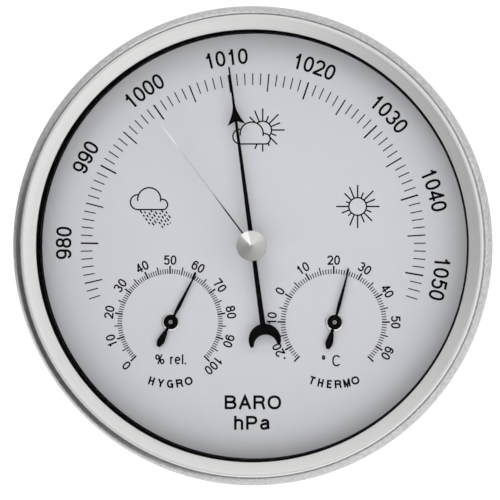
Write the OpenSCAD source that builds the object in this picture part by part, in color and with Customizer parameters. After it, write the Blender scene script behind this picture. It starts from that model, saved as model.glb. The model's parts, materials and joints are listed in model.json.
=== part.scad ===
// Wall weather instrument: an aneroid barometer with a hygrometer and a thermometer under one dial.
// Millimetres. The back lies on the wall at Y = 0, the dial faces -Y and +Z is up.
// Every module is drawn facing the reader: X to the right, Y up and Z out of the wall towards the reader.
// Angles on the dial are in degrees clockwise from the top, as the reader sees them.

/* [Case] */
// Outer radius of the case drum
case_r = 66; // [60:0.5:80]
// Wall of the case drum
case_wall = 1.2; // [1:0.1:2]
// Radius of the rounded front shoulder of the drum
shoulder_r = 3; // [2:0.25:4]
// Thickness of the lip that the bezel is pressed into
lip_t = 1.0; // [0.8:0.1:1.6]
// Thickness of the back cover
back_t = 2.0; // [1.6:0.2:4]
// Height of the back cover's rim inside the drum
rim_h = 4; // [3:0.5:8]
// Radius of the circle that the three case screws stand on
case_screw_circle = 55; // [50:0.5:57]
// Radius of the posts that the case screws pass through
post_r = 4; // [3.5:0.25:5]
// Radius of a vent hole
vent_r = 1.5; // [1:0.25:2.5]
// Number of vent holes
vents = 7; // [3:1:9]

/* [Bezel and glass] */
// Width of the sloping face of the bezel, seen from the front
bevel_w = 3.0; // [2:0.25:5]
// Height that the sloping face rises
bevel_rise = 2.7; // [1.5:0.25:4]
// Width of the rolled outer edge of the bezel
roll_w = 1.2; // [0.8:0.1:1.6]
// Wall of the bezel's skirt
skirt_t = 1.1; // [0.8:0.1:1.4]
// Thickness of the glass
glass_t = 2.0; // [1.5:0.25:3]
// Height of the black ring between the dial and the gasket
spacer_h = 6.4; // [6.4:0.2:12]
// Wall of the black ring
spacer_t = 1.3; // [1:0.1:2]
// Thickness of the gasket under the glass
gasket_t = 0.4; // [0.3:0.1:1]

/* [Dial] */
// Thickness of the dial plate
dial_t = 0.8; // [0.5:0.1:1.5]
// Thickness of the carrier plate behind the dial
carrier_t = 2.5; // [2:0.25:4]
// Distance of the two small dials from the middle line
sub_x = 22.8; // [22:0.2:26]
// Distance of the two small dials below the middle
sub_y = 21.2; // [20.5:0.2:26]
// Radius of the hole in the dial at the middle
dial_hole_r = 2.2; // [2:0.1:3]

/* [Hands] */
// Length of the pressure pointer from its pivot to its tip
pointer_len = 49.7; // [44:0.5:52]
// Distance from the pivot to the pointer's barbs
barb_at = 33.8; // [30:0.5:36]
// Half width across the barbs
barb_w = 2.4; // [1.5:0.1:3.5]
// Length of the hollow flanks in front of the barbs
flank_len = 5.9; // [4:0.1:8]
// Distance from the pivot back to the middle of the tail crescent
crescent_at = 26.3; // [22:0.5:30]
// Outer radius of the tail crescent
crescent_r = 4.5; // [3:0.25:6]
// Thickness of the pointers
hand_t = 0.4; // [0.3:0.05:0.6]
// Reading of the pressure pointer, clockwise from the top
pressure_angle = -7.5; // [-100:0.5:100]
// Reading of the set hand, clockwise from the top
set_angle = -36.9; // [-180:0.1:180]
// Length of the set hand
set_len = 42.3; // [36:0.5:50]
// Width of the set hand
set_w = 0.45; // [0.35:0.05:0.8]
// Reading of the hygrometer pointer, clockwise from the top of its dial
humidity_angle = 27.4; // [-130:0.2:130]
// Reading of the thermometer pointer, clockwise from the top of its dial
warmth_angle = 14.8; // [-130:0.2:130]
// Length of the small pointers
small_len = 15.3; // [12:0.1:16]
// Length of the tails of the small pointers
small_tail = 7.7; // [6:0.1:9]
// Radius of the set knob
knob_r = 4.15; // [3.5:0.05:6]
// Height of the cone on the set knob
knob_cone_h = 2.2; // [1:0.1:4]
// Height of the rim of the set knob
knob_rim_h = 0.9; // [0.6:0.1:2]

/* [Aneroid movement] */
// Radius of the aneroid capsule
capsule_r = 19; // [15:0.5:20]
// Height of the capsule
capsule_h = 6.4; // [5:0.2:8]
// Number of corrugations on each capsule shell
corrugations = 4; // [2:1:5]
// Distance of the capsule above the pointer's pivot
capsule_y = 5; // [4.5:0.25:5.5]
// Thickness of the capsule's sheet
shell_t = 0.3; // [0.25:0.05:0.5]
// Width of the main spring
spring_w = 11; // [8:0.5:11]
// Thickness of the main spring
leaf_t = 1.0; // [0.8:0.1:1.2]
// Thickness of the base plate
base_t = 1.4; // [1:0.1:2]
// Room between the back cover and the base plate
base_gap = 1.6; // [1.6:0.1:3]
// Thickness of the two plates of the gear train
plate_t = 1.0; // [0.8:0.1:1.4]
// Room between the two plates
train_gap = 3.8; // [3.8:0.1:5]
// Module of the gears
gear_module = 0.3; // [0.3:0.01:0.32]
// Teeth on the pinion
pinion_teeth = 10; // [9:1:10]
// Teeth that a full wheel of the sector's size would have
sector_full = 100; // [96:1:104]
// Teeth on the sector on each side of its middle
sector_side = 6; // [5:1:7]
// Length of the sector's tail
sector_tail = 7; // [6:0.25:7.5]
// Length of the rocker's short crank
crank_len = 3.5; // [3:0.25:4]
// Radius of the movement's pillars
pillar_r = 2.5; // [2.2:0.1:2.6]
// Turns of the hairspring
hair_turns = 5; // [3:1:7]
// Outer radius of the hairspring
hair_r = 6.2; // [5:0.1:6.4]
// Radius of the centre arbor
arbor_r = 0.6; // [0.5:0.05:0.8]

/* [Small movements] */
// Outer radius of the cups
cup_r = 11.5; // [10:0.25:12]
// Depth of the cups
cup_h = 10; // [9:0.5:14]
// Wall of the cups
cup_wall = 0.8; // [0.6:0.1:1.2]
// Width of the fixing flange of the cups
flange_w = 2.6; // [2.4:0.1:3]
// Turns of the bimetal coils
coil_turns = 6; // [4:1:8]
// Height of the bimetal strip
coil_h = 5; // [4:0.25:7]
// Thickness of the bimetal strip
coil_t = 0.3; // [0.25:0.05:0.4]
// Radius of the arbors of the small pointers
small_arbor_r = 0.55; // [0.5:0.05:0.7]

/* [Hanger] */
// Width of the hanger plate
hanger_w = 30; // [26:1:36]
// Height of the hanger plate
hanger_h = 20; // [18:0.5:22]
// Thickness of the hanger plate
hanger_t = 1.2; // [1:0.1:1.4]
// Height of the middle of the hanger plate above the dial's middle
hanger_y = 43; // [43:0.5:44]
// Radius of the keyhole where the screw head goes in
keyhole_r = 4.5; // [4:0.1:5]
// Radius of the narrow end of the keyhole
keyhole_slot_r = 2.2; // [1.8:0.1:2.5]
// Length from the middle of the keyhole to the end of its slot
keyhole_len = 7; // [6:0.25:8]

/* [Fasteners] */
// Radius of the case screws' threads
case_screw_r = 1.45; // [1.2:0.05:1.8]
// Radius of the movement screws' threads
small_screw_r = 1.2; // [1:0.05:1.4]
// Radius of the cup screws' threads
tiny_screw_r = 0.7; // [0.5:0.05:0.8]

/* [Clearances] */
// Running clearance of an arbor in its bearing
run_gap = 0.05; // [0.03:0.01:0.1]
// Clearance round a screw or a fitted ring
fit_gap = 0.1; // [0.05:0.01:0.15]
// Gap between hands, hubs and the faces that they turn over
float_gap = 0.3; // [0.2:0.05:0.5]

/* [Hidden] */
$fn = 96;
EPS = 0.01;
THROUGH = 60;

// Stack of depths, from the wall towards the reader
base_z = back_t + base_gap;
lower_leaf_z = base_z + base_t;
capsule_foot_h = 1.2;
capsule_z = lower_leaf_z + leaf_t + capsule_foot_h;
capsule_top = capsule_z + capsule_h;
stud_gap = 1.4;
upper_leaf_z = capsule_top + stud_gap;
arm_t = 0.8;
arm_z = upper_leaf_z + leaf_t;
rear_z = arm_z + arm_t + 1.2;
train_z = rear_z + plate_t;
front_z = train_z + train_gap;
carrier_gap = 0.9;
carrier_z = front_z + plate_t + carrier_gap;
dial_z = carrier_z + carrier_t;
face_z = dial_z + dial_t;
gasket_z = face_z + spacer_h;
glass_z = gasket_z + gasket_t;
glass_front = glass_z + glass_t;

// Radii of the front, from the drum inwards
drum_in_r = case_r - case_wall;
lip_out_r = case_r - shoulder_r + 0.2;
lip_in_r = lip_out_r - lip_t;
skirt_out_r = lip_in_r - fit_gap;
skirt_in_r = skirt_out_r - skirt_t;
glass_r = skirt_in_r - fit_gap;
roll_out_r = case_r - shoulder_r + 0.6;
crest_r = roll_out_r - roll_w;
window_r = crest_r - bevel_w;
spacer_in_r = window_r;
dial_r = spacer_in_r + spacer_t;
carrier_r = drum_in_r - 2 * fit_gap;

// Front heights
sill_t = 0.4;
crest_z = glass_front + sill_t + bevel_rise;
shoulder_z = glass_front + 0.8;
wall_top = shoulder_z - shoulder_r;
skirt_z = glass_z - 3.3;

// Hands, from the dial outwards
eyelet_t = 0.3;
eyelet_r = 2.3;
small_hub_r = 2.0;
small_hub_t = 0.8;
small_hub_z = face_z + eyelet_t + float_gap;
small_hand_z = small_hub_z + 0.2;
pin_top = small_hub_z + small_hub_t + 0.3;
pointer_z = pin_top + 0.5;
pointer_hub_r = 1.9;
pointer_hub_z = face_z + 1.2;
pointer_hub_top = pointer_z + hand_t + 0.6;
set_z = pointer_hub_top + 1.0;
set_hub_r = 2.2;
set_hub_t = 1.1;
bush_r = 2.4;
bush_bore_r = 1.25;
bush_flange_r = 3.4;
bush_flange_t = 0.6;
set_shaft_r = bush_bore_r - run_gap;
knob_z = glass_front + bush_flange_t + float_gap;
knob_top = knob_z + knob_rim_h + knob_cone_h;

// Movement plan
pillar_top_y = capsule_y + capsule_r + pillar_r + 1;
PILLARS = [[0, pillar_top_y], [21.1, -3.7], [-21.1, -3.7]];
sector_r = gear_module * sector_full / 2;
pinion_r = gear_module * pinion_teeth / 2;
sector_x = sector_r + pinion_r;
sector_z = train_z + 0.9;
sector_t = 0.8;
pinion_z = sector_z - 0.3;
pinion_t = 1.4;
bend_x = -23;
bend_r = (arm_z - lower_leaf_z) / 2;
bend_z = lower_leaf_z + bend_r;
arm_from_x = 5;
stud_r = 1.6;
rivet_x = arm_from_x + 2.5;
rivet_y = 2.4;
plate_w = 8;
rocker_x = 28;
rocker_z = lower_leaf_z + 4.5;
rocker_r = 1.2;
crank_pin_r = 0.35;
ear_y0 = -1.8;
ear_y1 = 12.6;
ear_t = 1.2;
pivot_r = 0.5;
pivot_screw_r = 1.0;
crank_x = rocker_x - crank_len;
arm_y = capsule_y;
link_y = sector_tail;
link_t = 0.6;
link_z = sector_z + sector_t + 0.2;
link_pin_r = 0.4;
hair_z = pinion_z + pinion_t + 0.3;
hair_h = 0.6;
hair_t = 0.15;
collet_r = 1.4;
hair_stud_r = 0.5;
hair_stud_y = hair_r + 0.9;

// Fasteners
case_head_r = 3.0;
case_head_t = 2.0;
case_head_sink = 0.4;
small_head_r = 2.2;
small_head_t = 1.0;
tiny_head_r = 1.2;
tiny_head_t = 0.6;
slot_w = 0.7;
cal_head_r = 2.8;
cal_r = 2.0;
cal_hole_r = 3.2;
case_thread = carrier_t * 0.6;
pillar_thread = 4;
cup_thread = 1.4;
rivet_r = 0.6;
CASE_SCREW_ANGLES = [30:120:270];
CUP_SCREW_ANGLES = [45, 225];

// Small movements
cup_z = carrier_z - cup_h;
coil_z = cup_z + cup_wall + 1.6;
coil_out_r = cup_r - cup_wall - 1.35;
coil_in_r = 1.7;
small_collar_r = 1.4;
cup_boss_r = 2.2;
cup_screw_circle = cup_r + flange_w / 2;
sub_hole_r = 1.3;

// Hanger pocket
pocket_w = 16;
pocket_z = 8.5;
pocket_wall = 1.4;
pocket_y0 = hanger_y - hanger_h / 2 + 1.5;
pocket_y1 = hanger_y + hanger_h / 2 - 1.5;
keyhole_y = hanger_y - 3.5;
hanger_screw_x = hanger_w / 2 - 3.2;

// ---- helpers ----

// Stands a shape drawn facing the reader up against the wall
module facing() { rotate([90, 0, 0]) children(); }

// Turns a profile of [radius, depth] about the dial's axis
module turned() { facing() rotate_extrude() children(); }

// A round disc or rod from depth z0 to z1
module rod(r, z0, z1) { translate([0, 0, z0]) cylinder(h = z1 - z0, r = r); }

// A round tube from depth z0 to z1
module tube(r_out, r_in, z0, z1) {
  translate([0, 0, z0]) difference() {
    cylinder(h = z1 - z0, r = r_out);
    translate([0, 0, -1]) cylinder(h = z1 - z0 + 2, r = r_in);
  }
}

// A flat bar with round ends between two points
module bar(a, b, w) {
  length = norm(b - a);
  translate(a) rotate(atan2(b.y - a.y, b.x - a.x)) translate([0, -w / 2]) square([length, w]);
  translate(a) circle(w / 2);
  translate(b) circle(w / 2);
}

// A slotted cheese-head screw, head towards +Z and its seat at depth z
module screw(r, head_r, head_t, length) {
  difference() {
    cylinder(h = head_t, r = head_r);
    translate([-head_r - 1, -slot_w / 2, head_t * 0.55]) cube([2 * head_r + 2, slot_w, head_t]);
  }
  translate([0, 0, -length]) cylinder(h = length + EPS, r = r);
}

// Points of a flat spiral strip that runs from radius r0 to r1
function spiral(r0, r1, turns, t, start = 0) =
  let (n = turns * 24)
  concat(
    [for (i = [0:n]) let (a = start + 360 * turns * i / n, r = r0 + (r1 - r0) * i / n)
      [r * cos(a), r * sin(a)]],
    [for (i = [n:-1:0]) let (a = start + 360 * turns * i / n, r = r0 + (r1 - r0) * i / n + t)
      [r * cos(a), r * sin(a)]]
  );

// Points along an arc, from angle a0 to a1
function arc(c, r, a0, a1, n = 12) =
  [for (i = [0:n]) let (a = a0 + (a1 - a0) * i / n) c + r * [cos(a), sin(a)]];

function on_circle(r, a) = [r * cos(a), r * sin(a)];

// One gear tooth pointing along +X on a wheel of pitch radius r
module tooth(r) {
  half = 0.2 * PI * gear_module;
  polygon([
    [r - 1.3 * gear_module, -half * 1.5], [r, -half], [r + 0.75 * gear_module, -half * 0.45],
    [r + 0.75 * gear_module, half * 0.45], [r, half], [r - 1.3 * gear_module, half * 1.5]
  ]);
}

// ---- case ----

module case_drum() {
  bead_z = rim_h + back_t;
  color("silver") turned() {
    translate([drum_in_r, 0]) square([case_wall, wall_top]);
    translate([case_r - shoulder_r, wall_top]) intersection() {
      difference() {
        circle(shoulder_r);
        circle(shoulder_r - case_wall);
      }
      square(shoulder_r);
    }
    translate([lip_in_r, dial_z]) square([lip_t, shoulder_z - dial_z - EPS]);
    translate([drum_in_r - 1.4, bead_z]) square([1.4 + EPS, 1.2]);
  }
}

module back_cover() {
  rim_r = drum_in_r - fit_gap;
  color("dimgray") facing() difference() {
    union() {
      rod(rim_r, 0, back_t);
      tube(rim_r, rim_r - 1.6, back_t - EPS, back_t + rim_h);
      for (a = CASE_SCREW_ANGLES) translate(on_circle(case_screw_circle, a))
        rod(post_r, back_t - EPS, carrier_z);
      translate([-pocket_w / 2 - pocket_wall, pocket_y0 - pocket_wall, back_t - EPS])
        cube([pocket_w + 2 * pocket_wall, pocket_y1 - pocket_y0 + 2 * pocket_wall,
              pocket_z + pocket_wall - back_t]);
      for (s = [-1, 1]) translate([s * hanger_screw_x, hanger_y]) rod(2.6, back_t - EPS, back_t + 4);
    }
    for (a = CASE_SCREW_ANGLES) translate(on_circle(case_screw_circle, a)) {
      rod(case_screw_r + fit_gap, -1, THROUGH);
      rod(case_head_r + fit_gap, -1, case_head_t + case_head_sink);
    }
    translate([-hanger_w / 2 - fit_gap, hanger_y - hanger_h / 2 - fit_gap, -1])
      cube([hanger_w + 2 * fit_gap, hanger_h + 2 * fit_gap, 1 + hanger_t]);
    translate([-pocket_w / 2, pocket_y0, -1]) cube([pocket_w, pocket_y1 - pocket_y0, 1 + pocket_z]);
    for (s = [-1, 1]) translate([s * hanger_screw_x, hanger_y])
      rod(small_screw_r + fit_gap / 2, -1, back_t + 3.2);
    translate([0, capsule_y]) rod(cal_hole_r, -1, back_t + 1);
    for (i = [0:vents - 1]) translate(on_circle(case_screw_circle - 10, 205 + 130 * i / (vents - 1)))
      rod(vent_r, -1, back_t + 1);
  }
}

module case_screws() {
  color("darkgray") facing() for (a = CASE_SCREW_ANGLES) translate(on_circle(case_screw_circle, a))
    translate([0, 0, case_head_t + case_head_sink]) mirror([0, 0, 1])
      screw(case_screw_r, case_head_r, case_head_t, carrier_z - case_head_t - case_head_sink + case_thread);
}

module hanger_plate() {
  color("lightsteelblue") facing() difference() {
    translate([-hanger_w / 2, hanger_y - hanger_h / 2, 0]) cube([hanger_w, hanger_h, hanger_t]);
    translate([0, keyhole_y]) rod(keyhole_r, -1, hanger_t + 1);
    translate([0, keyhole_y + keyhole_len]) rod(keyhole_slot_r, -1, hanger_t + 1);
    translate([-keyhole_slot_r, keyhole_y, -1]) cube([2 * keyhole_slot_r, keyhole_len, hanger_t + 2]);
    for (s = [-1, 1]) translate([s * hanger_screw_x, hanger_y]) {
      rod(small_screw_r + fit_gap, -1, hanger_t + 1);
      rod(small_head_r + fit_gap, -1, hanger_t - 0.4);
    }
  }
}

module hanger_screws() {
  head = hanger_t - 0.4;
  color("darkgray") facing() for (s = [-1, 1]) translate([s * hanger_screw_x, hanger_y, head])
    mirror([0, 0, 1]) screw(small_screw_r, small_head_r, head, back_t + 2.6 - head);
}

// ---- bezel and glass ----

module bezel_ring() {
  roll_c = [crest_r, crest_z - roll_w];
  color("gainsboro") turned() polygon(concat(
    [[window_r, glass_front], [window_r, glass_front + sill_t]],
    arc(roll_c, roll_w, 120, 0),
    [[roll_out_r, shoulder_z], [skirt_out_r, shoulder_z], [skirt_out_r, skirt_z], [skirt_in_r, skirt_z],
     [skirt_in_r, glass_front]]
  ));
}

module glass() {
  color("lightcyan", 0.4) facing() tube(glass_r, bush_r, glass_z, glass_front);
}

module glass_gasket() {
  color("black") facing() tube(glass_r, spacer_in_r + fit_gap, gasket_z, glass_z);
}

module dial_spacer() {
  color("black") facing() tube(dial_r, spacer_in_r, face_z, gasket_z);
}

// ---- dial ----

module dial_plate() {
  color("silver") facing() difference() {
    rod(dial_r, dial_z, face_z);
    rod(dial_hole_r, 0, THROUGH);
    for (s = [-1, 1]) translate([s * sub_x, -sub_y]) rod(sub_hole_r, 0, THROUGH);
  }
}

module dial_carrier() {
  color("darkslategray") facing() difference() {
    union() {
      rod(carrier_r, carrier_z, dial_z);
      for (p = PILLARS) translate(p) rod(pillar_r + 0.5, carrier_z - carrier_gap, carrier_z + EPS);
    }
    rod(dial_hole_r + 0.6, 0, THROUGH);
    for (s = [-1, 1]) translate([s * sub_x, -sub_y]) {
      rod(sub_hole_r, 0, THROUGH);
      for (a = CUP_SCREW_ANGLES) translate(on_circle(cup_screw_circle, a))
        rod(tiny_screw_r + fit_gap / 2, 0, carrier_z + cup_thread + 0.2);
    }
    for (p = PILLARS) translate(p) {
      rod(small_screw_r + fit_gap, 0, THROUGH);
      rod(small_head_r + fit_gap, dial_z - small_head_t - 0.2, THROUGH);
    }
    for (a = CASE_SCREW_ANGLES) translate(on_circle(case_screw_circle, a))
      rod(case_screw_r + fit_gap / 2, 0, carrier_z + case_thread + 0.2);
  }
}

// ---- aneroid movement ----

// Outline shared by the base plate and the two train plates
module plate_outline(w) {
  side = 90 + atan2(PILLARS[1].y - PILLARS[0].y, PILLARS[1].x - PILLARS[0].x);
  polygon(concat(
    arc(PILLARS[0], w / 2, 180 - side, side),
    arc(PILLARS[1], w / 2, side, -90),
    arc(PILLARS[2], w / 2, 270, 180 - side)
  ));
}

module base_plate() {
  color("goldenrod") facing() translate([0, 0, base_z]) difference() {
    union() {
      linear_extrude(base_t) plate_outline(plate_w);
      linear_extrude(base_t) bar([bend_x, capsule_y], [rocker_x - 3, capsule_y], spring_w + 3);
      translate([rocker_x - 4, -4, 0]) cube([8, 19, base_t]);
    }
    translate([0, capsule_y, -1]) cylinder(h = base_t + 2, r = cal_r + run_gap);
    for (p = PILLARS) translate([p.x, p.y, -1]) cylinder(h = base_t + 2, r = small_screw_r + fit_gap);
  }
}

module base_screws() {
  color("darkgray") facing() for (p = PILLARS) translate([p.x, p.y, base_z]) mirror([0, 0, 1])
    screw(small_screw_r, small_head_r, small_head_t, base_t + pillar_thread);
}

module movement_pillars() {
  color("goldenrod") facing() for (p = PILLARS) translate(p) difference() {
    rod(pillar_r, lower_leaf_z, rear_z);
    rod(small_screw_r + fit_gap / 2, lower_leaf_z - 1, lower_leaf_z + pillar_thread + 0.4);
    rod(small_screw_r + fit_gap / 2, rear_z - pillar_thread - 0.4, rear_z + 1);
  }
}

module rear_plate() {
  color("goldenrod") facing() translate([0, 0, rear_z]) difference() {
    linear_extrude(plate_t) plate_outline(plate_w);
    translate([0, 0, -1]) cylinder(h = plate_t + 2, r = arbor_r + run_gap);
    translate([sector_x, 0, -1]) cylinder(h = plate_t + 2, r = arbor_r + run_gap);
    for (p = PILLARS) translate([p.x, p.y, -1]) cylinder(h = plate_t + 2, r = small_screw_r + fit_gap);
  }
}

module plate_spacers() {
  color("goldenrod") facing() for (p = PILLARS) translate(p)
    tube(pillar_r, small_screw_r + fit_gap, train_z, front_z);
}

module front_plate() {
  color("goldenrod") facing() translate([0, 0, front_z]) difference() {
    linear_extrude(plate_t) plate_outline(plate_w);
    translate([0, 0, -1]) cylinder(h = plate_t + 2, r = arbor_r + run_gap);
    translate([sector_x, 0, -1]) cylinder(h = plate_t + 2, r = arbor_r + run_gap);
    translate([0, hair_stud_y, -1]) cylinder(h = plate_t + 2, r = hair_stud_r + fit_gap / 2);
    for (p = PILLARS) translate([p.x, p.y, -1]) cylinder(h = plate_t + 2, r = small_screw_r + fit_gap);
  }
}

module movement_screws() {
  seat = dial_z - small_head_t - 0.2;
  color("darkgray") facing() for (p = PILLARS) translate([p.x, p.y, seat])
    screw(small_screw_r, small_head_r, small_head_t, seat - rear_z + pillar_thread);
}

// Half section of a corrugated shell of height h: a wavy sheet from its boss out to its flat rim
function shell_wave(r, h) =
  let (r0 = 3, r1 = capsule_r - 1.6, u = (r - r0) / (r1 - r0))
  h * (1 - 0.18 * (1 - cos(360 * corrugations * u)) / 2) - h * 0.25 * pow(u, 4);

module capsule_shell(h) {
  r0 = 3;
  r1 = capsule_r - 1.6;
  n = corrugations * 10;
  rotate_extrude() polygon(concat(
    [[0, h], [0, h + 0.2], [r0, h + 0.2]],
    [for (i = [0:n]) let (r = r0 + (r1 - r0) * i / n) [r, shell_wave(r, h)]],
    [[r1 + 0.8, shell_t], [capsule_r, shell_t], [capsule_r, 0], [r1 + 0.5, 0]],
    [for (i = [n:-1:0]) let (r = r0 + (r1 - r0) * i / n) [r, shell_wave(r, h) - shell_t]],
    [[r0 - 0.6, h - shell_t], [0, h - shell_t]]
  ));
}

module capsule_lower() {
  half = capsule_h / 2;
  color("peru") facing() translate([0, capsule_y, 0]) {
    translate([0, 0, capsule_z + half]) mirror([0, 0, 1]) capsule_shell(half - 0.2);
    difference() {
      rod(3.4, lower_leaf_z + leaf_t, capsule_z + EPS);
      rod(cal_r + run_gap, 0, lower_leaf_z + leaf_t + 0.7);
    }
  }
}

module capsule_upper() {
  half = capsule_h / 2;
  color("peru") facing() translate([0, capsule_y, capsule_z + half]) capsule_shell(half - 0.2);
}

module capsule_stud() {
  color("goldenrod") facing() translate([0, capsule_y, 0]) {
    rod(3, capsule_top, capsule_top + 0.5);
    difference() {
      rod(stud_r, capsule_top, arm_z + 1.0);
      translate([-3, -0.35, arm_z + 0.2]) cube([6, 0.7, 0.5]);
    }
  }
}

module stud_key() {
  color("gray") facing() translate([-2.9, capsule_y - 0.3, arm_z + 0.25]) cube([5.8, 0.6, 0.4]);
}

module main_spring() {
  color("steelblue") facing() difference() {
    union() {
      translate([bend_x, capsule_y - spring_w / 2, lower_leaf_z]) cube([-bend_x + 10, spring_w, leaf_t]);
      translate([bend_x, capsule_y - spring_w / 2, upper_leaf_z]) cube([-bend_x + 13, spring_w, leaf_t]);
      translate([bend_x, capsule_y + spring_w / 2, bend_z]) rotate([90, 0, 0]) difference() {
        cylinder(h = spring_w, r = bend_r);
        translate([0, 0, -1]) cylinder(h = spring_w + 2, r = bend_r - leaf_t);
        translate([0, -bend_r - 1, -1]) cube([bend_r + 1, 2 * bend_r + 2, spring_w + 2]);
      }
    }
    translate([0, capsule_y, lower_leaf_z - 1]) cylinder(h = leaf_t + 2, r = cal_r + run_gap);
    translate([0, capsule_y, upper_leaf_z - 1]) cylinder(h = leaf_t + 2, r = stud_r + fit_gap);
    for (s = [-1, 1]) translate([rivet_x, arm_y + rivet_y * s, upper_leaf_z - 1])
      cylinder(h = leaf_t + 2, r = rivet_r + run_gap);
  }
}

module spring_arm() {
  color("goldenrod") facing() translate([0, 0, arm_z]) difference() {
    linear_extrude(arm_t) {
      translate([arm_from_x, arm_y - 4]) square([5, 8]);
      bar([arm_from_x + 4, arm_y], [crank_x, arm_y], 2.4);
    }
    translate([crank_x, arm_y, -1]) cylinder(h = arm_t + 2, r = link_pin_r + 0.15);
    for (s = [-1, 1]) translate([rivet_x, arm_y + rivet_y * s, -1])
      cylinder(h = arm_t + 2, r = rivet_r + run_gap);
  }
}

module arm_rivets() {
  color("gray") facing() for (s = [-1, 1]) translate([rivet_x, arm_y + rivet_y * s]) {
    rod(rivet_r, upper_leaf_z + 0.1, arm_z + arm_t + EPS);
    rod(1.1, arm_z + arm_t, arm_z + arm_t + 0.35);
  }
}

// Wire link from the rocker's crank up to the spring arm
module lift_link() {
  color("silver") facing() difference() {
    union() {
      translate([crank_x, arm_y, 0]) rod(link_pin_r, rocker_z + 0.6, arm_z + arm_t + 0.6);
      translate([crank_x, arm_y, 0]) rod(0.9, arm_z - 0.65, arm_z - 0.25);
      translate([crank_x - 0.9, arm_y - 0.5, rocker_z - 0.9]) cube([1.8, 1.0, 1.8]);
    }
    translate([crank_x, arm_y + 2, rocker_z]) rotate([90, 0, 0]) cylinder(h = 4, r = crank_pin_r + run_gap);
  }
}

module rocker_bracket() {
  color("goldenrod") facing() difference() {
    union() {
      translate([rocker_x - 2.5, ear_y0 - ear_t, lower_leaf_z]) cube([5, ear_y1 - ear_y0 + 2 * ear_t, 1]);
      for (y = [ear_y0 - ear_t, ear_y1]) translate([rocker_x - 2.5, y, lower_leaf_z])
        cube([5, ear_t, rocker_z - lower_leaf_z + 2.4]);
    }
    translate([rocker_x, ear_y1 + 5, rocker_z]) rotate([90, 0, 0])
      cylinder(h = 30, r = pivot_screw_r + run_gap);
  }
}

module pivot_screws() {
  color("darkgray") facing() for (s = [-1, 1]) {
    inner = s < 0 ? ear_y0 + 0.9 : ear_y1 - 0.9;
    translate([rocker_x, inner, rocker_z]) rotate([-90 * s, 0, 0]) difference() {
      cylinder(h = ear_t + 1.9, r = pivot_screw_r);
      translate([0, 0, -1]) cylinder(h = 2.2, r = pivot_r + run_gap);
      translate([-2, -0.3, ear_t + 1.4]) cube([4, 0.6, 2]);
    }
  }
}

module rocker_shaft() {
  y0 = ear_y0 + 1.2;
  y1 = ear_y1 - 1.2;
  top = link_z + link_t + 0.3;
  color("silver") facing() {
    translate([rocker_x, y1, rocker_z]) rotate([90, 0, 0]) cylinder(h = y1 - y0, r = rocker_r);
    translate([rocker_x, y1 + 1.0, rocker_z]) rotate([90, 0, 0]) cylinder(h = y1 - y0 + 2.0, r = pivot_r);
    for (s = [-1, 1]) translate([crank_x - 0.9, arm_y + s * 1.1 - 0.4, rocker_z - 0.8])
      cube([crank_len + 0.9, 0.8, 1.6]);
    translate([crank_x, arm_y + 1.5, rocker_z]) rotate([90, 0, 0]) cylinder(h = 3, r = crank_pin_r);
    translate([rocker_x - 0.6, link_y - 0.8, rocker_z]) cube([1.2, 1.6, link_z - rocker_z - 0.3]);
    translate([rocker_x, link_y, 0]) rod(link_pin_r, link_z - 0.4, top);
  }
}

module drive_link() {
  color("silver") facing() translate([0, 0, link_z]) difference() {
    linear_extrude(link_t) bar([sector_x, link_y], [rocker_x, link_y], 2.2);
    translate([sector_x, link_y, -1]) cylinder(h = link_t + 2, r = link_pin_r + run_gap);
    translate([rocker_x, link_y, -1]) cylinder(h = link_t + 2, r = link_pin_r + 0.25);
  }
}

module sector_gear() {
  rim_in = sector_r - 3;
  root_r = sector_r - 1.1 * gear_module;
  pitch = 360 / sector_full;
  reach = (sector_side + 0.5) * pitch;
  color("goldenrod") facing() translate([sector_x, 0, sector_z]) {
    difference() {
      linear_extrude(sector_t) {
        intersection() {
          difference() {
            circle(root_r);
            circle(rim_in);
          }
          polygon([[0, 0], 2 * sector_r * [-1, tan(reach)], 2 * sector_r * [-1, -tan(reach)]]);
        }
        for (i = [-sector_side:sector_side]) rotate(180 + i * pitch) tooth(sector_r);
        bar([0, 0], [-rim_in - 1, 0], 2.4);
        bar([0, 0], [0, sector_tail], 2.0);
        circle(2.0);
      }
      translate([0, 0, -1]) cylinder(h = sector_t + 2, r = arbor_r + EPS);
    }
    translate([0, sector_tail, sector_t - EPS]) cylinder(h = link_t + 0.6, r = link_pin_r);
  }
}

module sector_arbor() {
  color("silver") facing() translate([sector_x, 0, 0]) rod(arbor_r, rear_z + 0.1, front_z + plate_t - 0.1);
}

module centre_arbor() {
  color("silver") facing() {
    rod(arbor_r, rear_z + 0.1, pointer_hub_top - 0.2);
    translate([0, 0, pinion_z]) linear_extrude(pinion_t) {
      circle(pinion_r - 1.1 * gear_module);
      for (i = [0:pinion_teeth - 1]) rotate((i + 0.5) * 360 / pinion_teeth) tooth(pinion_r);
    }
  }
}

module hairspring() {
  color("steelblue") facing() translate([0, 0, hair_z]) linear_extrude(hair_h)
    polygon(spiral(collet_r + 0.1, hair_r, hair_turns, hair_t, 90));
}

module hairspring_collet() {
  color("goldenrod") facing() tube(collet_r, arbor_r + EPS, hair_z - 0.2, hair_z + hair_h + 0.2);
}

module hairspring_stud() {
  color("goldenrod") facing() translate([0, hair_stud_y, 0]) rod(hair_stud_r, hair_z, front_z + plate_t);
}

module calibration_screw() {
  head_t = 1.0;
  color("gold") facing() translate([0, capsule_y, base_z - head_t]) {
    difference() {
      cylinder(h = head_t - run_gap, r = cal_head_r);
      translate([-cal_head_r - 1, -slot_w / 2, -1]) cube([2 * cal_head_r + 2, slot_w, 1.5]);
    }
    cylinder(h = head_t + base_t + leaf_t + 0.6, r = cal_r);
  }
}

// ---- pressure hands ----

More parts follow.
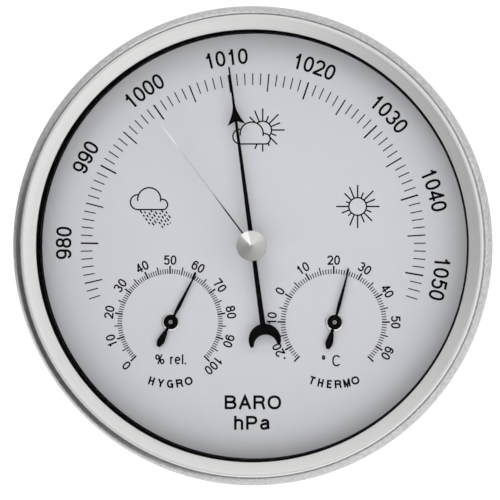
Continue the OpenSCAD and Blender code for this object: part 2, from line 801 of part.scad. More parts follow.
// Half width of the pressure pointer's head at distance y from the pivot
function head_half(y) = 0.35 + (barb_w - 0.35) * pow((barb_at + flank_len - y) / flank_len, 1.8);

module baro_pointer() {
  n = 12;
  tail_y = crescent_r - crescent_at - 0.8;
  color("black") facing() rotate(-pressure_angle) difference() {
    union() {
      translate([0, 0, pointer_z]) linear_extrude(hand_t) {
        polygon([[-0.6, 0], [-0.42, barb_at + 2], [0.42, barb_at + 2], [0.6, 0]]);
        polygon(concat(
          [[0, barb_at + 1], [barb_w, barb_at]],
          [for (i = [1:n]) let (y = barb_at + flank_len * i / n) [head_half(y), y]],
          [[0.22, pointer_len], [-0.22, pointer_len]],
          [for (i = [n:-1:1]) let (y = barb_at + flank_len * i / n) [-head_half(y), y]],
          [[-barb_w, barb_at]]
        ));
        polygon([[-0.6, 0], [0.6, 0], [0.72, tail_y], [-0.72, tail_y]]);
        difference() {
          translate([0, -crescent_at]) circle(crescent_r);
          translate([0, -crescent_at - 0.4 * crescent_r]) circle(0.72 * crescent_r);
        }
        circle(2.6);
      }
      rod(pointer_hub_r, pointer_hub_z, pointer_hub_top);
    }
    rod(arbor_r + EPS, pointer_hub_z - 1, pointer_hub_top - 0.15);
  }
}

module set_hand() {
  color("whitesmoke") facing() rotate(-set_angle) difference() {
    union() {
      translate([0, 0, set_z + 0.3]) linear_extrude(hand_t) polygon([
        [-set_w / 2, 0], [-set_w / 2, set_len - 1.5], [0, set_len], [set_w / 2, set_len - 1.5], [set_w / 2, 0]
      ]);
      rod(set_hub_r, set_z, set_z + set_hub_t);
    }
    rod(set_shaft_r - 0.4 + EPS, set_z - 1, THROUGH);
  }
}

module set_shaft() {
  color("silver") facing() {
    rod(set_shaft_r - 0.4, set_z + 0.1, set_z + set_hub_t + 0.1);
    rod(set_shaft_r, set_z + set_hub_t, knob_z + knob_rim_h * 0.6);
  }
}

module glass_bush() {
  foot_z = glass_z - 0.3;
  color("gainsboro") facing() {
    tube(bush_r - fit_gap / 2, bush_bore_r, foot_z, glass_front + EPS);
    tube(bush_flange_r, bush_bore_r, glass_front, glass_front + bush_flange_t);
  }
}

module set_washer() {
  washer_z = set_z + set_hub_t;
  color("gray") facing() rotate_extrude() polygon([
    [set_shaft_r + fit_gap, washer_z + 0.05], [bush_flange_r - 1, glass_z - 0.55],
    [bush_flange_r - 1, glass_z - 0.35], [set_shaft_r + fit_gap, washer_z + 0.25]
  ]);
}

module set_knob() {
  dimple = 0.45;
  color("silver") facing() difference() {
    rotate_extrude() polygon(concat(
      [[0, knob_z], [knob_r - 0.3, knob_z], [knob_r, knob_z + 0.3]],
      arc([knob_r - 0.35, knob_z + knob_rim_h - 0.35], 0.35, 0, 60, 4),
      [[0.5, knob_top], [0, knob_top]]
    ));
    translate([0, 0, knob_top - dimple * 0.6]) cylinder(h = 1, r1 = dimple * 0.5, r2 = dimple * 1.2);
    rod(set_shaft_r + EPS, knob_z - 1, knob_z + knob_rim_h * 0.6 + 0.05);
  }
}

// ---- small movements: side is -1 for the hygrometer and 1 for the thermometer ----

module at_gauge(side) { facing() translate([side * sub_x, -sub_y, 0]) children(); }

module gauge_cup(side) {
  difference() {
    union() {
      rod(cup_r, cup_z, cup_z + cup_wall);
      tube(cup_r, cup_r - cup_wall, cup_z, carrier_z);
      tube(cup_r + flange_w, cup_r - cup_wall, carrier_z - cup_wall, carrier_z);
      rod(cup_boss_r, cup_z, cup_z + cup_wall + 1.2);
    }
    rod(small_arbor_r + run_gap, cup_z + 0.4, THROUGH);
    for (a = CUP_SCREW_ANGLES) translate(on_circle(cup_screw_circle, a))
      rod(tiny_screw_r + fit_gap / 2, 0, THROUGH);
  }
}

module gauge_screws() {
  for (a = CUP_SCREW_ANGLES) translate(on_circle(cup_screw_circle, a)) translate([0, 0, carrier_z - cup_wall])
    mirror([0, 0, 1]) screw(tiny_screw_r, tiny_head_r, tiny_head_t, cup_wall + cup_thread);
}

module gauge_coil() {
  translate([0, 0, coil_z]) linear_extrude(coil_h)
    polygon(spiral(coil_in_r, coil_out_r, coil_turns, coil_t));
}

module gauge_stud() {
  translate([coil_out_r + coil_t + 0.45, 0, 0]) rod(0.4, cup_z + cup_wall, coil_z + coil_h + 0.3);
}

module gauge_arbor() {
  rod(small_arbor_r, cup_z + 0.5, pin_top);
  rod(small_collar_r, coil_z, coil_z + coil_h);
}

module gauge_bush() {
  tube(1.25, small_arbor_r + run_gap, carrier_z - 0.8, face_z + EPS);
  tube(eyelet_r, small_arbor_r + run_gap, face_z, face_z + eyelet_t);
  tube(2.2, small_arbor_r + run_gap, carrier_z - 0.8, carrier_z);
}

module small_pointer(angle) {
  rotate(-angle) difference() {
    union() {
      translate([0, 0, small_hand_z]) linear_extrude(hand_t) {
        polygon([[-0.5, 0], [-0.15, small_len], [0.15, small_len], [0.5, 0]]);
        polygon([
          [-0.4, 0], [-0.4, -3.4], [-0.8, 1.4 - small_tail], [-0.8, 0.9 - small_tail], [-0.45, -small_tail],
          [0.45, -small_tail], [0.8, 0.9 - small_tail], [0.8, 1.4 - small_tail], [0.4, -3.4], [0.4, 0]
        ]);
      }
      rod(small_hub_r, small_hub_z, small_hub_z + small_hub_t);
    }
    rod(small_arbor_r + EPS, 0, THROUGH);
  }
}

module hygro_cup() { color("gainsboro") at_gauge(-1) gauge_cup(); }
module hygro_screws() { color("darkgray") at_gauge(-1) gauge_screws(); }
module hygro_coil() { color("peru") at_gauge(-1) gauge_coil(); }
module hygro_stud() { color("goldenrod") at_gauge(-1) gauge_stud(); }
module hygro_arbor() { color("silver") at_gauge(-1) gauge_arbor(); }
module hygro_bush() { color("silver") at_gauge(-1) gauge_bush(); }
module hygro_pointer() { color("black") at_gauge(-1) small_pointer(humidity_angle); }
module thermo_cup() { color("gainsboro") at_gauge(1) gauge_cup(); }
module thermo_screws() { color("darkgray") at_gauge(1) gauge_screws(); }
module thermo_coil() { color("peru") at_gauge(1) gauge_coil(); }
module thermo_stud() { color("goldenrod") at_gauge(1) gauge_stud(); }
module thermo_arbor() { color("silver") at_gauge(1) gauge_arbor(); }
module thermo_bush() { color("silver") at_gauge(1) gauge_bush(); }
module thermo_pointer() { color("black") at_gauge(1) small_pointer(warmth_angle); }

// ---- assembly ----

case_drum();
back_cover();
bezel_ring();
glass();
glass_gasket();
dial_spacer();
dial_plate();
dial_carrier();
case_screws();
hanger_plate();
hanger_screws();
base_plate();
base_screws();
movement_pillars();
rear_plate();
plate_spacers();
front_plate();
movement_screws();
capsule_lower();
capsule_upper();
capsule_stud();
stud_key();
main_spring();
spring_arm();
arm_rivets();
lift_link();
rocker_bracket();
pivot_screws();
rocker_shaft();
drive_link();
sector_gear();
sector_arbor();
centre_arbor();
hairspring();
hairspring_collet();
hairspring_stud();
calibration_screw();
baro_pointer();
set_hand();
set_shaft();
glass_bush();
set_washer();
set_knob();
hygro_cup();
hygro_screws();
hygro_coil();
hygro_stud();
hygro_arbor();
hygro_bush();
hygro_pointer();
thermo_cup();
thermo_screws();
thermo_coil();
thermo_stud();
thermo_arbor();
thermo_bush();
thermo_pointer();
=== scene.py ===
"""Wall weather instrument: an aneroid barometer with a hygrometer and a thermometer under one dial.

Sizes are in millimetres in dial coordinates: x to the reader's right, y up, z out of the wall.
Angles on the dial are in degrees clockwise from the top. to_row() turns both into the frame's metres.
"""

import json
import logging
import math
from dataclasses import dataclass, field
from enum import Enum
from functools import reduce
from typing import Dict, List, Optional, Sequence, Tuple

import bpy
import numpy as np
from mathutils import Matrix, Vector


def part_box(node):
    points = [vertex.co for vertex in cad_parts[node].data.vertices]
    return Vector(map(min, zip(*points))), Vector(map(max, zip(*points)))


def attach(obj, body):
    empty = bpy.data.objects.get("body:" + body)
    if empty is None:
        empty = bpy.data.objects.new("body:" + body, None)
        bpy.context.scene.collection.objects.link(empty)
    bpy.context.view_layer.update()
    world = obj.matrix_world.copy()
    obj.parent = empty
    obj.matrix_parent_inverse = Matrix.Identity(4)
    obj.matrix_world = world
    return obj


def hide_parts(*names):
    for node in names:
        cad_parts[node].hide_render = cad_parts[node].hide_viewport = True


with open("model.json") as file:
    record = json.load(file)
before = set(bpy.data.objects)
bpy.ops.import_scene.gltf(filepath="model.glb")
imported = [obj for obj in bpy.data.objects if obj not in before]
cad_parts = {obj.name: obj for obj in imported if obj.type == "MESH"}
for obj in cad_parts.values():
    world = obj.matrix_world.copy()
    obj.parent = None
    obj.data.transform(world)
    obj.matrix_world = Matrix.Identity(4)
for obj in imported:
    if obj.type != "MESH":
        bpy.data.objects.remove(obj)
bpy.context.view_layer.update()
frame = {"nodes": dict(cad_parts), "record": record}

MM = 0.001
ROUND = 192
SMALL_ROUND = 64
BLADE_T = 0.4
BLADE_EDGE = 0.05
FIGURE_SPACING = 0.714
SMALL_PRINT_SETS_OFF = (0.25, 0.0)

log = logging.getLogger("weather_instrument")

Place = Sequence[float]
Pair = Tuple[float, float]
Rgb = Tuple[float, float, float]
Array = np.ndarray
Socket = bpy.types.NodeSocket


# ---- frame and coordinates ----


def to_row(points: Array) -> Array:
    """Turns dial coordinates into the frame: X = x, Y = -z and Z = y, in metres.

    Args:
        points: an array of (x, y, z) rows in millimetres.

    Returns:
        The same rows in the frame's metres.
    """
    p = np.asarray(points, float).reshape(-1, 3)
    return np.stack([p[:, 0], -p[:, 2], p[:, 1]], axis=1) * MM


@dataclass(frozen=True)
class Extent:
    """The room that a CAD node takes up, in dial coordinates."""

    left: float
    right: float
    bottom: float
    top: float
    back: float
    front: float

    @property
    def radius(self) -> float:
        """Half of the node's width."""
        return (self.right - self.left) / 2

    @property
    def centre(self) -> Pair:
        """Middle of the node as the reader sees it."""
        return (self.left + self.right) / 2, (self.bottom + self.top) / 2


def extent(node: str) -> Extent:
    """Reads where a CAD node is.

    Args:
        node: name of the node.

    Returns:
        Its extent in dial coordinates.
    """
    lo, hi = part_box(node)
    return Extent(lo.x / MM, hi.x / MM, lo.z / MM, hi.z / MM, -hi.y / MM, -lo.y / MM)


def measured(node: str) -> Extent:
    """A dataclass field that holds a CAD node's extent."""
    return field(default_factory=lambda: extent(node))


def heading(degrees: float) -> Array:
    """Direction (x, y) of an angle read clockwise from the top."""
    a = math.radians(degrees)
    return np.array([math.sin(a), math.cos(a)])


def turned(points: Array, degrees: float, about: Place = (0, 0)) -> Array:
    """Turns flat points clockwise about the origin, (x cos a + y sin a, y cos a - x sin a), and moves them.

    Args:
        points: rows of (x, y).
        degrees: how far to turn them clockwise.
        about: where the origin goes.

    Returns:
        The turned rows.
    """
    c, s = math.cos(math.radians(degrees)), math.sin(math.radians(degrees))
    p = np.asarray(points, float).reshape(-1, 2)
    return p @ np.array([[c, -s], [s, c]]) + np.asarray(about, float)


# ---- surfaces ----


@dataclass
class Surface:
    """Points in dial coordinates with the faces between them, and a map position for each face corner."""

    points: Array
    faces: List[Tuple[int, ...]]
    uv: Optional[Array] = None

    def volume(self) -> float:
        """Signed volume by the divergence theorem: a third of each face's area vector times a corner."""
        total = 0.0
        by_size: Dict[int, List[Tuple[int, ...]]] = {}
        for f in self.faces:
            by_size.setdefault(len(f), []).append(f)
        for group in by_size.values():
            p = self.points[np.array(group)]
            area = np.cross(p, np.roll(p, -1, axis=1)).sum(axis=1) / 2
            total += float((p[:, 0] * area).sum()) / 3
        return total

    def outward(self) -> "Surface":
        """Returns the surface with its faces turned to point outwards."""
        if self.volume() >= 0:
            return self
        starts = np.cumsum([0] + [len(f) for f in self.faces])
        uv = self.uv
        if uv is not None:
            order = np.concatenate([np.arange(b - 1, a - 1, -1) for a, b in zip(starts[:-1], starts[1:])])
            uv = uv[order]
        return Surface(self.points, [tuple(reversed(f)) for f in self.faces], uv)


def joined(surfaces: Sequence[Surface]) -> Surface:
    """Puts several surfaces into one, each turned to point outwards first.

    Args:
        surfaces: closed surfaces.

    Returns:
        One surface with the points and faces of all.
    """
    parts = [s.outward() for s in surfaces]
    starts = np.cumsum([0] + [len(s.points) for s in parts])
    faces = [tuple(i + int(n) for i in f) for s, n in zip(parts, starts) for f in s.faces]
    mapped = all(s.uv is not None for s in parts)
    uv = np.concatenate([s.uv for s in parts]) if mapped else None
    return Surface(np.concatenate([s.points for s in parts]), faces, uv)


def grid(n: int, m: int, loop: bool) -> Tuple[Array, Array, Array]:
    """Steps i and j over n rings of m corners, and the quads that join each ring to the next.

    Args:
        n: how many rings.
        m: how many corners each has.
        loop: True if the last ring joins the first.

    Returns:
        The steps i, the steps j, and rows of four point numbers.
    """
    i, j = np.meshgrid(np.arange(n if loop else n - 1), np.arange(m), indexing="ij")
    ring, side = (i + 1) % n, (j + 1) % m
    quads = np.stack([i * m + j, i * m + side, ring * m + side, ring * m + j], axis=-1)
    return i, j, quads.reshape(-1, 4)


def lofted(rings: Array, loop: bool = False) -> Surface:
    """Joins rings of points into a closed surface: corner j of ring i meets corner j of ring i + 1.

    Args:
        rings: array of shape (rings, corners, 3).
        loop: True if the last ring joins the first, else each end gets a face.

    Returns:
        The closed surface.
    """
    n, m = rings.shape[:2]
    faces = [tuple(q) for q in grid(n, m, loop)[2].tolist()]
    if not loop:
        faces += [tuple(range(m))[::-1], tuple(range((n - 1) * m, n * m))]
    return Surface(rings.reshape(-1, 3), faces)


def corners_of(*corners: Tuple[Array, Array]) -> Array:
    """Rows of (u, v), face by face, from the u and v of each face's corners."""
    each = [np.stack(np.broadcast_arrays(u, v), axis=-1) for u, v in corners]
    return np.stack(each, axis=-2).reshape(-1, 2)


def revolved(
    profile: Sequence[Place], centre: Place = (0, 0), sides: int = ROUND
) -> Surface:
    """Carries a profile of (radius, z) round an axis: x = cx + r sin(a), y = cy + r cos(a).

    A profile that starts and ends on the axis closes in two poles, and any other one closes in itself.
    The map runs once round in u, and along the profile in v, in millimetres.

    Args:
        profile: the (radius, z) points.
        centre: where the axis meets the dial.
        sides: how many steps go round.

    Returns:
        The closed surface.
    """
    rz = np.asarray(profile, float)
    poles = rz[0, 0] < 1e-6 and rz[-1, 0] < 1e-6
    body = rz[1:-1] if poles else rz
    along = np.concatenate([[0], np.cumsum(np.hypot(*np.diff(rz, axis=0).T))])
    a = np.arange(sides) * (2 * math.pi / sides)
    r, z = body[:, :1], body[:, 1:]
    rings = np.stack([centre[0] + r * np.sin(a), centre[1] + r * np.cos(a), z + 0 * a], axis=-1)
    n = len(body)
    i, j, quads = grid(n, sides, not poles)
    v = along[1:-1] if poles else np.append(along, along[-1] + np.hypot(*(rz[0] - rz[-1])))
    u0, u1 = j / sides, j / sides + 1 / sides
    uv = corners_of((u0, v[i]), (u1, v[i]), (u1, v[i + 1]), (u0, v[i + 1]))
    faces = [tuple(q) for q in quads.tolist()]
    points = rings.reshape(-1, 3)
    if poles:
        j = np.arange(sides)
        first, last, top = len(points), len(points) + 1, (n - 1) * sides
        points = np.concatenate([points, [[*centre, rz[0, 1]], [*centre, rz[-1, 1]]]])
        low = np.stack([0 * j + first, (j + 1) % sides, j], axis=-1)
        high = np.stack([top + j, top + (j + 1) % sides, 0 * j + last], axis=-1)
        faces += [tuple(t) for t in np.concatenate([low, high]).tolist()]
        u0, mid, u1 = j / sides, (j + 0.5) / sides, (j + 1) / sides
        low_uv = corners_of((mid, 0.0), (u1, v[0]), (u0, v[0]))
        high_uv = corners_of((u0, v[-1]), (u1, v[-1]), (mid, along[-1]))
        uv = np.concatenate([uv, low_uv, high_uv])
    return Surface(points, faces, uv).outward()


def arc(centre: Place, r: float, a0: float, a1: float, n: int = 10) -> List[Pair]:
    """Points of a round stretch, centre + r (cos a, sin a), with a anticlockwise from the first axis."""
    a = np.radians(np.linspace(a0, a1, n))
    return list(zip((centre[0] + r * np.cos(a)).tolist(), (centre[1] + r * np.sin(a)).tolist()))


def mitred(before: Array, after: Array, least: float) -> Array:
    """Steps off a path that keep both sides of a corner at one distance: (n1 + n2) / (1 + n1 . n2).

    Args:
        before: the step of the path up to each corner.
        after: the step from it.
        least: the smallest divisor, which holds back the point of a sharp corner.

    Returns:
        One step for each corner.
    """
    ahead = [s / np.linalg.norm(s, axis=1, keepdims=True) for s in (before, after)]
    n1, n2 = (np.stack([-s[:, 1], s[:, 0]], axis=1) for s in ahead)
    return (n1 + n2) / np.maximum(1 + (n1 * n2).sum(axis=1, keepdims=True), least)


def inset(outline: Array, by: float) -> Array:
    """Moves each corner of an anticlockwise outline inwards along the mitre of its two sides."""
    before, after = outline - np.roll(outline, 1, axis=0), np.roll(outline, -1, axis=0) - outline
    return outline + by * mitred(before, after, 0.35)


def prism(sections: Sequence[Tuple[Array, float]], axis: int = 0) -> Array:
    """Stacks flat outlines, each at its depth, along an axis of the result."""
    return np.stack([np.column_stack([o, np.full(len(o), z)]) for o, z in sections], axis=axis)


def slab(outline: Array, z0: float, z1: float, edge: float = BLADE_EDGE) -> Surface:
    """A flat plate with a bevel round its front face.

    Args:
        outline: anticlockwise rows of (x, y).
        z0: depth of its back.
        z1: depth of its front.
        edge: width of the bevel.

    Returns:
        The closed surface.
    """
    return lofted(prism([(outline, z0), (outline, z1 - edge), (inset(outline, edge), z1)]))


def ribbon(path: Array, width: float, z0: float, z1: float, loop: bool = False) -> Surface:
    """A flat band along a path: at each point the sides stand half a width away along the mitre.

    Args:
        path: rows of (x, y).
        width: width of the band.
        z0: depth of its back.
        z1: depth of its front.
        loop: True if the path closes in itself.

    Returns:
        The closed surface.
    """
    p = np.asarray(path, float)
    if loop:
        before, after = p - np.roll(p, 1, axis=0), np.roll(p, -1, axis=0) - p
    else:
        step = np.diff(p, axis=0)
        before, after = np.vstack([step[:1], step]), np.vstack([step, step[-1:]])
    side = width / 2 * mitred(before, after, 0.25)
    corners = [(p + side, z0), (p - side, z0), (p - side, z1), (p + side, z1)]
    return lofted(prism(corners, axis=1), loop)


def shown(thing: bpy.types.Object) -> bpy.types.Object:
    """Puts an object into the scene."""
    bpy.context.scene.collection.objects.link(thing)
    return thing


def mesh_piece(
    name: str,
    surface: Surface,
    finish: "Finish",
    body: str = "root",
    stands_for: Sequence[str] = (),
    crease: float = 30.0,
) -> bpy.types.Object:
    """Makes a piece of the instrument from a closed surface.

    Args:
        name: name of the piece.
        surface: its surface, in dial coordinates.
        finish: what it is made of.
        body: the CAD body that it rides on.
        stands_for: the CAD nodes that it replaces.
        crease: angle in degrees above which an edge stays sharp.

    Returns:
        The new object.
    """
    surface = surface.outward()
    mesh = bpy.data.meshes.new(name)
    mesh.from_pydata(to_row(surface.points).tolist(), [], surface.faces)
    if surface.uv is not None:
        layer = mesh.uv_layers.new(name="UVMap")
        layer.data.foreach_set("uv", surface.uv.astype(np.float32).ravel())
    mesh.shade_smooth()
    mesh.set_sharp_from_angle(angle=math.radians(crease))
    mesh.materials.append(finish.material())
    piece = shown(bpy.data.objects.new(name, mesh))
    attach(piece, body)
    if stands_for:
        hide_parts(*stands_for)
    log.info("%s: %d faces on %s", name, len(surface.faces), body)
    return piece


# ---- finishes ----


def linear(grey_or_rgb: Place) -> Tuple[float, float, float, float]:
    """Turns a display colour from 0 to 255 into the linear colour that a shader takes."""
    c = np.asarray(grey_or_rgb, float) / 255
    lin = np.where(c <= 0.04045, c / 12.92, ((c + 0.055) / 1.055) ** 2.4)
    return (float(lin[0]), float(lin[1]), float(lin[2]), 1.0)


SHADER_INPUT: Dict[str, str] = {
    "colour": "Base Color",
    "metallic": "Metallic",
    "roughness": "Roughness",
    "specular": "Specular IOR Level",
    "anisotropy": "Anisotropic",
    "tangent": "Tangent",
    "glow": "Emission Color",
    "glow_strength": "Emission Strength",
}


class Nodes:
    """A shader tree being filled in: short calls that add nodes and link them."""

    def __init__(self, tree: bpy.types.NodeTree) -> None:
        """Takes up a tree, with its coordinates to hand."""
        self.tree = tree
        self.coords = self.node("TexCoord")

    def node(self, kind: str, **values: object) -> bpy.types.Node:
        """Adds a shader node of a kind and sets its attributes."""
        n = self.tree.nodes.new(f"ShaderNode{kind}")
        for k, v in values.items():
            setattr(n, k, v)
        return n

    def link(self, source: object, target: object) -> None:
        """Links a socket, or sets it if the source is a number or a colour."""
        if isinstance(source, Socket):
            self.tree.links.new(source, target)
        else:
            target.default_value = source

    def feed(self, node: bpy.types.Node, values: Dict[str, object]) -> None:
        """Links or sets a node's inputs by their names."""
        for key, source in values.items():
            self.link(source, node.inputs[key])

    def math(self, what: str, a: object, b: object = 0.0) -> Socket:
        """One step of arithmetic on two values."""
        n = self.node("Math", operation=what)
        self.link(a, n.inputs[0])
        self.link(b, n.inputs[1])
        return n.outputs[0]

    def vector(self, what: str, a: object, b: Optional[Place] = None) -> Socket:
        """One step of arithmetic on vectors, whose result is a vector or a number."""
        n = self.node("VectorMath", operation=what)
        self.link(a, n.inputs[0])
        if b is not None:
            self.link(b, n.inputs[1])
        return n.outputs["Value" if what in ("LENGTH", "DOT_PRODUCT") else "Vector"]

    def split(self, vector: object) -> bpy.types.NodeOutputs:
        """The X, Y and Z of a vector."""
        n = self.node("SeparateXYZ")
        self.link(vector, n.inputs[0])
        return n.outputs

    def spread(
        self,
        fac: object,
        low: float,
        high: float,
        first: float = 0.0,
        last: float = 1.0,
        smooth: bool = False,
    ) -> Socket:
        """Carries a value from first..last to low..high, and no further at its ends."""
        n = self.node("MapRange", interpolation_type="SMOOTHSTEP" if smooth else "LINEAR")
        self.feed(n, {"Value": fac, "From Min": first, "From Max": last, "To Min": low, "To Max": high})
        return n.outputs["Result"]

    def mixed(self, fac: object, a: object, b: object) -> Socket:
        """One shader that passes into another."""
        n = self.node("MixShader")
        for source, target in zip((fac, a, b), n.inputs):
            self.link(source, target)
        return n.outputs[0]


class Recipe(Nodes):
    """A material being mixed, with values worked out in millimetres round the dial's axis."""

    def __init__(self, name: str) -> None:
        """Starts a material with a Principled shader and the object's own coordinates."""
        self.made = bpy.data.materials.new(name)
        self.made.use_nodes = True
        super().__init__(self.made.node_tree)
        self.shader = self.tree.nodes["Principled BSDF"]
        self.out = self.tree.nodes["Material Output"]

    def shade(self, **values: object) -> None:
        """Links or sets the shader's metallic, roughness and so on; colour stands for its base colour."""
        self.feed(self.shader, {SHADER_INPUT[key]: value for key, value in values.items()})

    def place_mm(self) -> Socket:
        """The object's own coordinates, in millimetres."""
        n = self.node("VectorMath", operation="SCALE")
        self.link(self.coords.outputs["Object"], n.inputs[0])
        n.inputs["Scale"].default_value = 1 / MM
        return n.outputs[0]

    def off_axis(self) -> Socket:
        """The way from the dial's axis, in millimetres."""
        return self.vector("MULTIPLY", self.place_mm(), (1.0, 0.0, 1.0))

    def along_profile(self, scale: float) -> Socket:
        """The map's v, which runs along a turned piece's profile, times a scale."""
        uv = self.node("UVMap", uv_map="UVMap")
        return self.math("MULTIPLY", self.split(uv.outputs[0])["Y"], scale)

    def noise(self, vector: object, scale: float, detail: float = 2.0, rough: float = 0.5) -> Socket:
        """Smooth noise from 0 to 1, with scale in turns for each millimetre of the vector."""
        n = self.node("TexNoise")
        self.feed(n, {"Vector": vector, "Scale": scale, "Detail": detail, "Roughness": rough})
        return n.outputs["Fac"]

    def rings(self, angular: float, along: float) -> Socket:
        """Noise drawn out round the axis: its vector is the direction from the axis, and the profile."""
        way = self.split(self.vector("NORMALIZE", self.off_axis()))
        v = self.node("CombineXYZ")
        self.feed(v, {"X": self.math("MULTIPLY", way["X"], angular), "Y": self.along_profile(along),
                      "Z": self.math("MULTIPLY", way["Z"], angular)})
        return self.noise(v.outputs[0], 1.0, 3.0, 0.6)

    def total(self, *parts: Tuple[object, float]) -> Socket:
        """The sum of values, each times its share."""
        terms = [self.math("MULTIPLY", value, share) for value, share in parts]
        return reduce(lambda a, b: self.math("ADD", a, b), terms)

    def ramp(self, fac: object, stops: Sequence[Tuple[float, Place]]) -> Socket:
        """Colours spread over a value: each stop is a place from 0 to 1 and a display colour up to 255."""
        n = self.node("ValToRGB")
        self.link(fac, n.inputs["Fac"])
        e = n.color_ramp.elements
        while len(e) < len(stops):
            e.new(0.5)
        for item, (at, colour) in zip(e, stops):
            item.position = at
            item.color = linear(np.minimum(colour, 255))
        return n.outputs["Color"]

    def speckled(self, fac: object, colour: Place, contrast: float, low: float) -> Socket:
        """A colour that is darker where a value is under low, and lighter where it is over 1 - low."""
        c = np.asarray(colour, float)
        return self.ramp(fac, [(low, c * (1 - contrast)), (1 - low, c * (1 + contrast))])

    def layered(self, under: object, over: object) -> Socket:
        """One colour times another."""
        n = self.node("Mix", data_type="RGBA", blend_type="MULTIPLY")
        self.feed(n, {"Factor": 1.0, "A": under, "B": over})
        return n.outputs["Result"]

    def bump(self, height: object, depth_mm: float) -> None:
        """Raises the surface by a height from 0 to 1 times a depth in millimetres."""
        n = self.node("Bump")
        self.feed(n, {"Strength": 1.0, "Distance": depth_mm * MM, "Height": height})
        self.link(n.outputs["Normal"], self.shader.inputs["Normal"])


MIXED: Dict[str, bpy.types.Material] = {}


@dataclass(frozen=True)
class Finish:
    """What a piece is made of. One material is made for each name."""

    name: str
    colour: Rgb

    def material(self) -> bpy.types.Material:
        """Makes the material, or finds the one already made."""
        if self.name not in MIXED:
            r = Recipe(self.name)
            self.mix(r)
            MIXED[self.name] = r.made
        return MIXED[self.name]

    def mix(self, r: Recipe) -> None:
        """Fills in the recipe."""
        raise NotImplementedError


@dataclass(frozen=True)
class LathedMetal(Finish):
    """Metal turned or brushed on a lathe: fine rings that follow the surface's own profile (the map's v)."""

    roughness: float = 0.3
    ring_scale: float = 6.0
    streak: float = 1.5
    contrast: float = 0.10
    depth: float = 0.004
    anisotropy: float = 0.6
    metallic: float = 1.0

    def mix(self, r: Recipe) -> None:
        """Rings of lighter and darker metal, with a bump and a stretched gloss along them."""
        fine = r.rings(self.streak, self.ring_scale)
        both = r.total((fine, 0.7), (r.noise(r.place_mm(), 0.03), 0.3))
        tangent = r.node("Tangent", direction_type="UV_MAP", uv_map="UVMap")
        r.shade(colour=r.speckled(fine, self.colour, self.contrast, 0.25), metallic=self.metallic,
                roughness=r.spread(both, self.roughness * 0.7, self.roughness * 1.3),
                anisotropy=self.anisotropy, tangent=tangent.outputs[0])
        r.bump(fine, self.depth)


@dataclass(frozen=True)
class Solid(Finish):
    """Plain metal, plastic or rubber with a grain: a fine speckle in colour, gloss and height."""

    metallic: float = 0.0
    roughness: float = 0.5
    grain: float = 3.0
    contrast: float = 0.08
    depth: float = 0.01
    specular: float = 0.5

    def mix(self, r: Recipe) -> None:
        """A speckle at the grain's scale over slow clouds ten times as wide."""
        fine = r.noise(r.place_mm(), self.grain, 3.0, 0.6)
        both = r.total((fine, 0.6), (r.noise(r.place_mm(), self.grain / 10), 0.4))
        r.shade(colour=r.speckled(both, self.colour, self.contrast, 0.3), metallic=self.metallic,
                roughness=r.spread(both, self.roughness * 0.8, min(1.0, self.roughness * 1.2)),
                specular=self.specular)
        r.bump(fine, self.depth)


@dataclass(frozen=True)
class Metal(Solid):
    """Metal with the same speckle."""

    metallic: float = 1.0
    roughness: float = 0.3
    depth: float = 0.004


@dataclass(frozen=True)
class SatinDial(Finish):
    """Silver lacquer on the dial: a faint vertical grain, fine flakes, and painted shade that makes its rim a
    little darker.
    """

    rim_r: float = 60.0

    def mix(self, r: Recipe) -> None:
        """Flakes and grain over painted shade that darkens the tone a little towards the rim."""
        grain = r.noise(r.vector("MULTIPLY", r.place_mm(), (1.0, 1.0, 0.04)), 6.0, 3.0, 0.6)
        flake, slow = r.noise(r.place_mm(), 9.0), r.noise(r.place_mm(), 0.02, 1.0)
        speck = r.total((grain, 0.35), (flake, 0.35), (slow, 0.3))
        out = r.math("DIVIDE", r.vector("LENGTH", r.off_axis()), self.rim_r)
        c = np.asarray(self.colour, float)
        # Painted shade: the tone is a little darker at seven tenths of the way out, and darker again at the
        # rim next to the spacer ring.
        rim = r.ramp(out, [(0.0, c), (0.70, c * 0.99), (0.88, c), (0.99, c * 0.98)])
        grainy = r.ramp(speck, [(0.3, (247, 247, 248)), (0.7, (255, 255, 255))])
        r.shade(colour=r.layered(rim, grainy), metallic=0.15, roughness=r.spread(speck, 0.42, 0.58))
        r.bump(grain, 0.0015)


@dataclass(frozen=True)
class SpunCone(Finish):
    """Spun aluminium with painted light that fans round the cone, a painted highlight and painted shade:
    (share of a turn, tone).
    """

    fan: Sequence[Pair] = (
        (0.0, 0.74), (0.16, 0.80), (0.36, 0.90), (0.385, 1.24), (0.455, 1.24),
        (0.475, 1.02), (0.60, 1.05), (0.70, 0.90), (0.84, 0.82), (1.0, 0.74),
    )

    def mix(self, r: Recipe) -> None:
        """Painted highlight and painted shade by the angle round the axis, counted clockwise from straight
        down, times fine turned rings.
        """
        way = r.split(r.place_mm())
        turn = r.math("DIVIDE", r.math("ARCTAN2", way["X"], way["Z"]), 2 * math.pi)
        c = np.asarray(self.colour, float)
        # Painted light: the bright wedge at the upper left is a painted highlight, and the darker tones
        # towards the bottom are painted shade.
        fan = r.ramp(r.math("ADD", turn, 0.5), [(at, c * tone) for at, tone in self.fan])
        rings = r.rings(2.5, 10.0)
        turned_off = r.ramp(rings, [(0.3, (240, 240, 240)), (0.7, (255, 255, 255))])
        r.shade(colour=r.layered(fan, turned_off), metallic=0.35, roughness=r.spread(rings, 0.38, 0.5))
        r.bump(rings, 0.003)


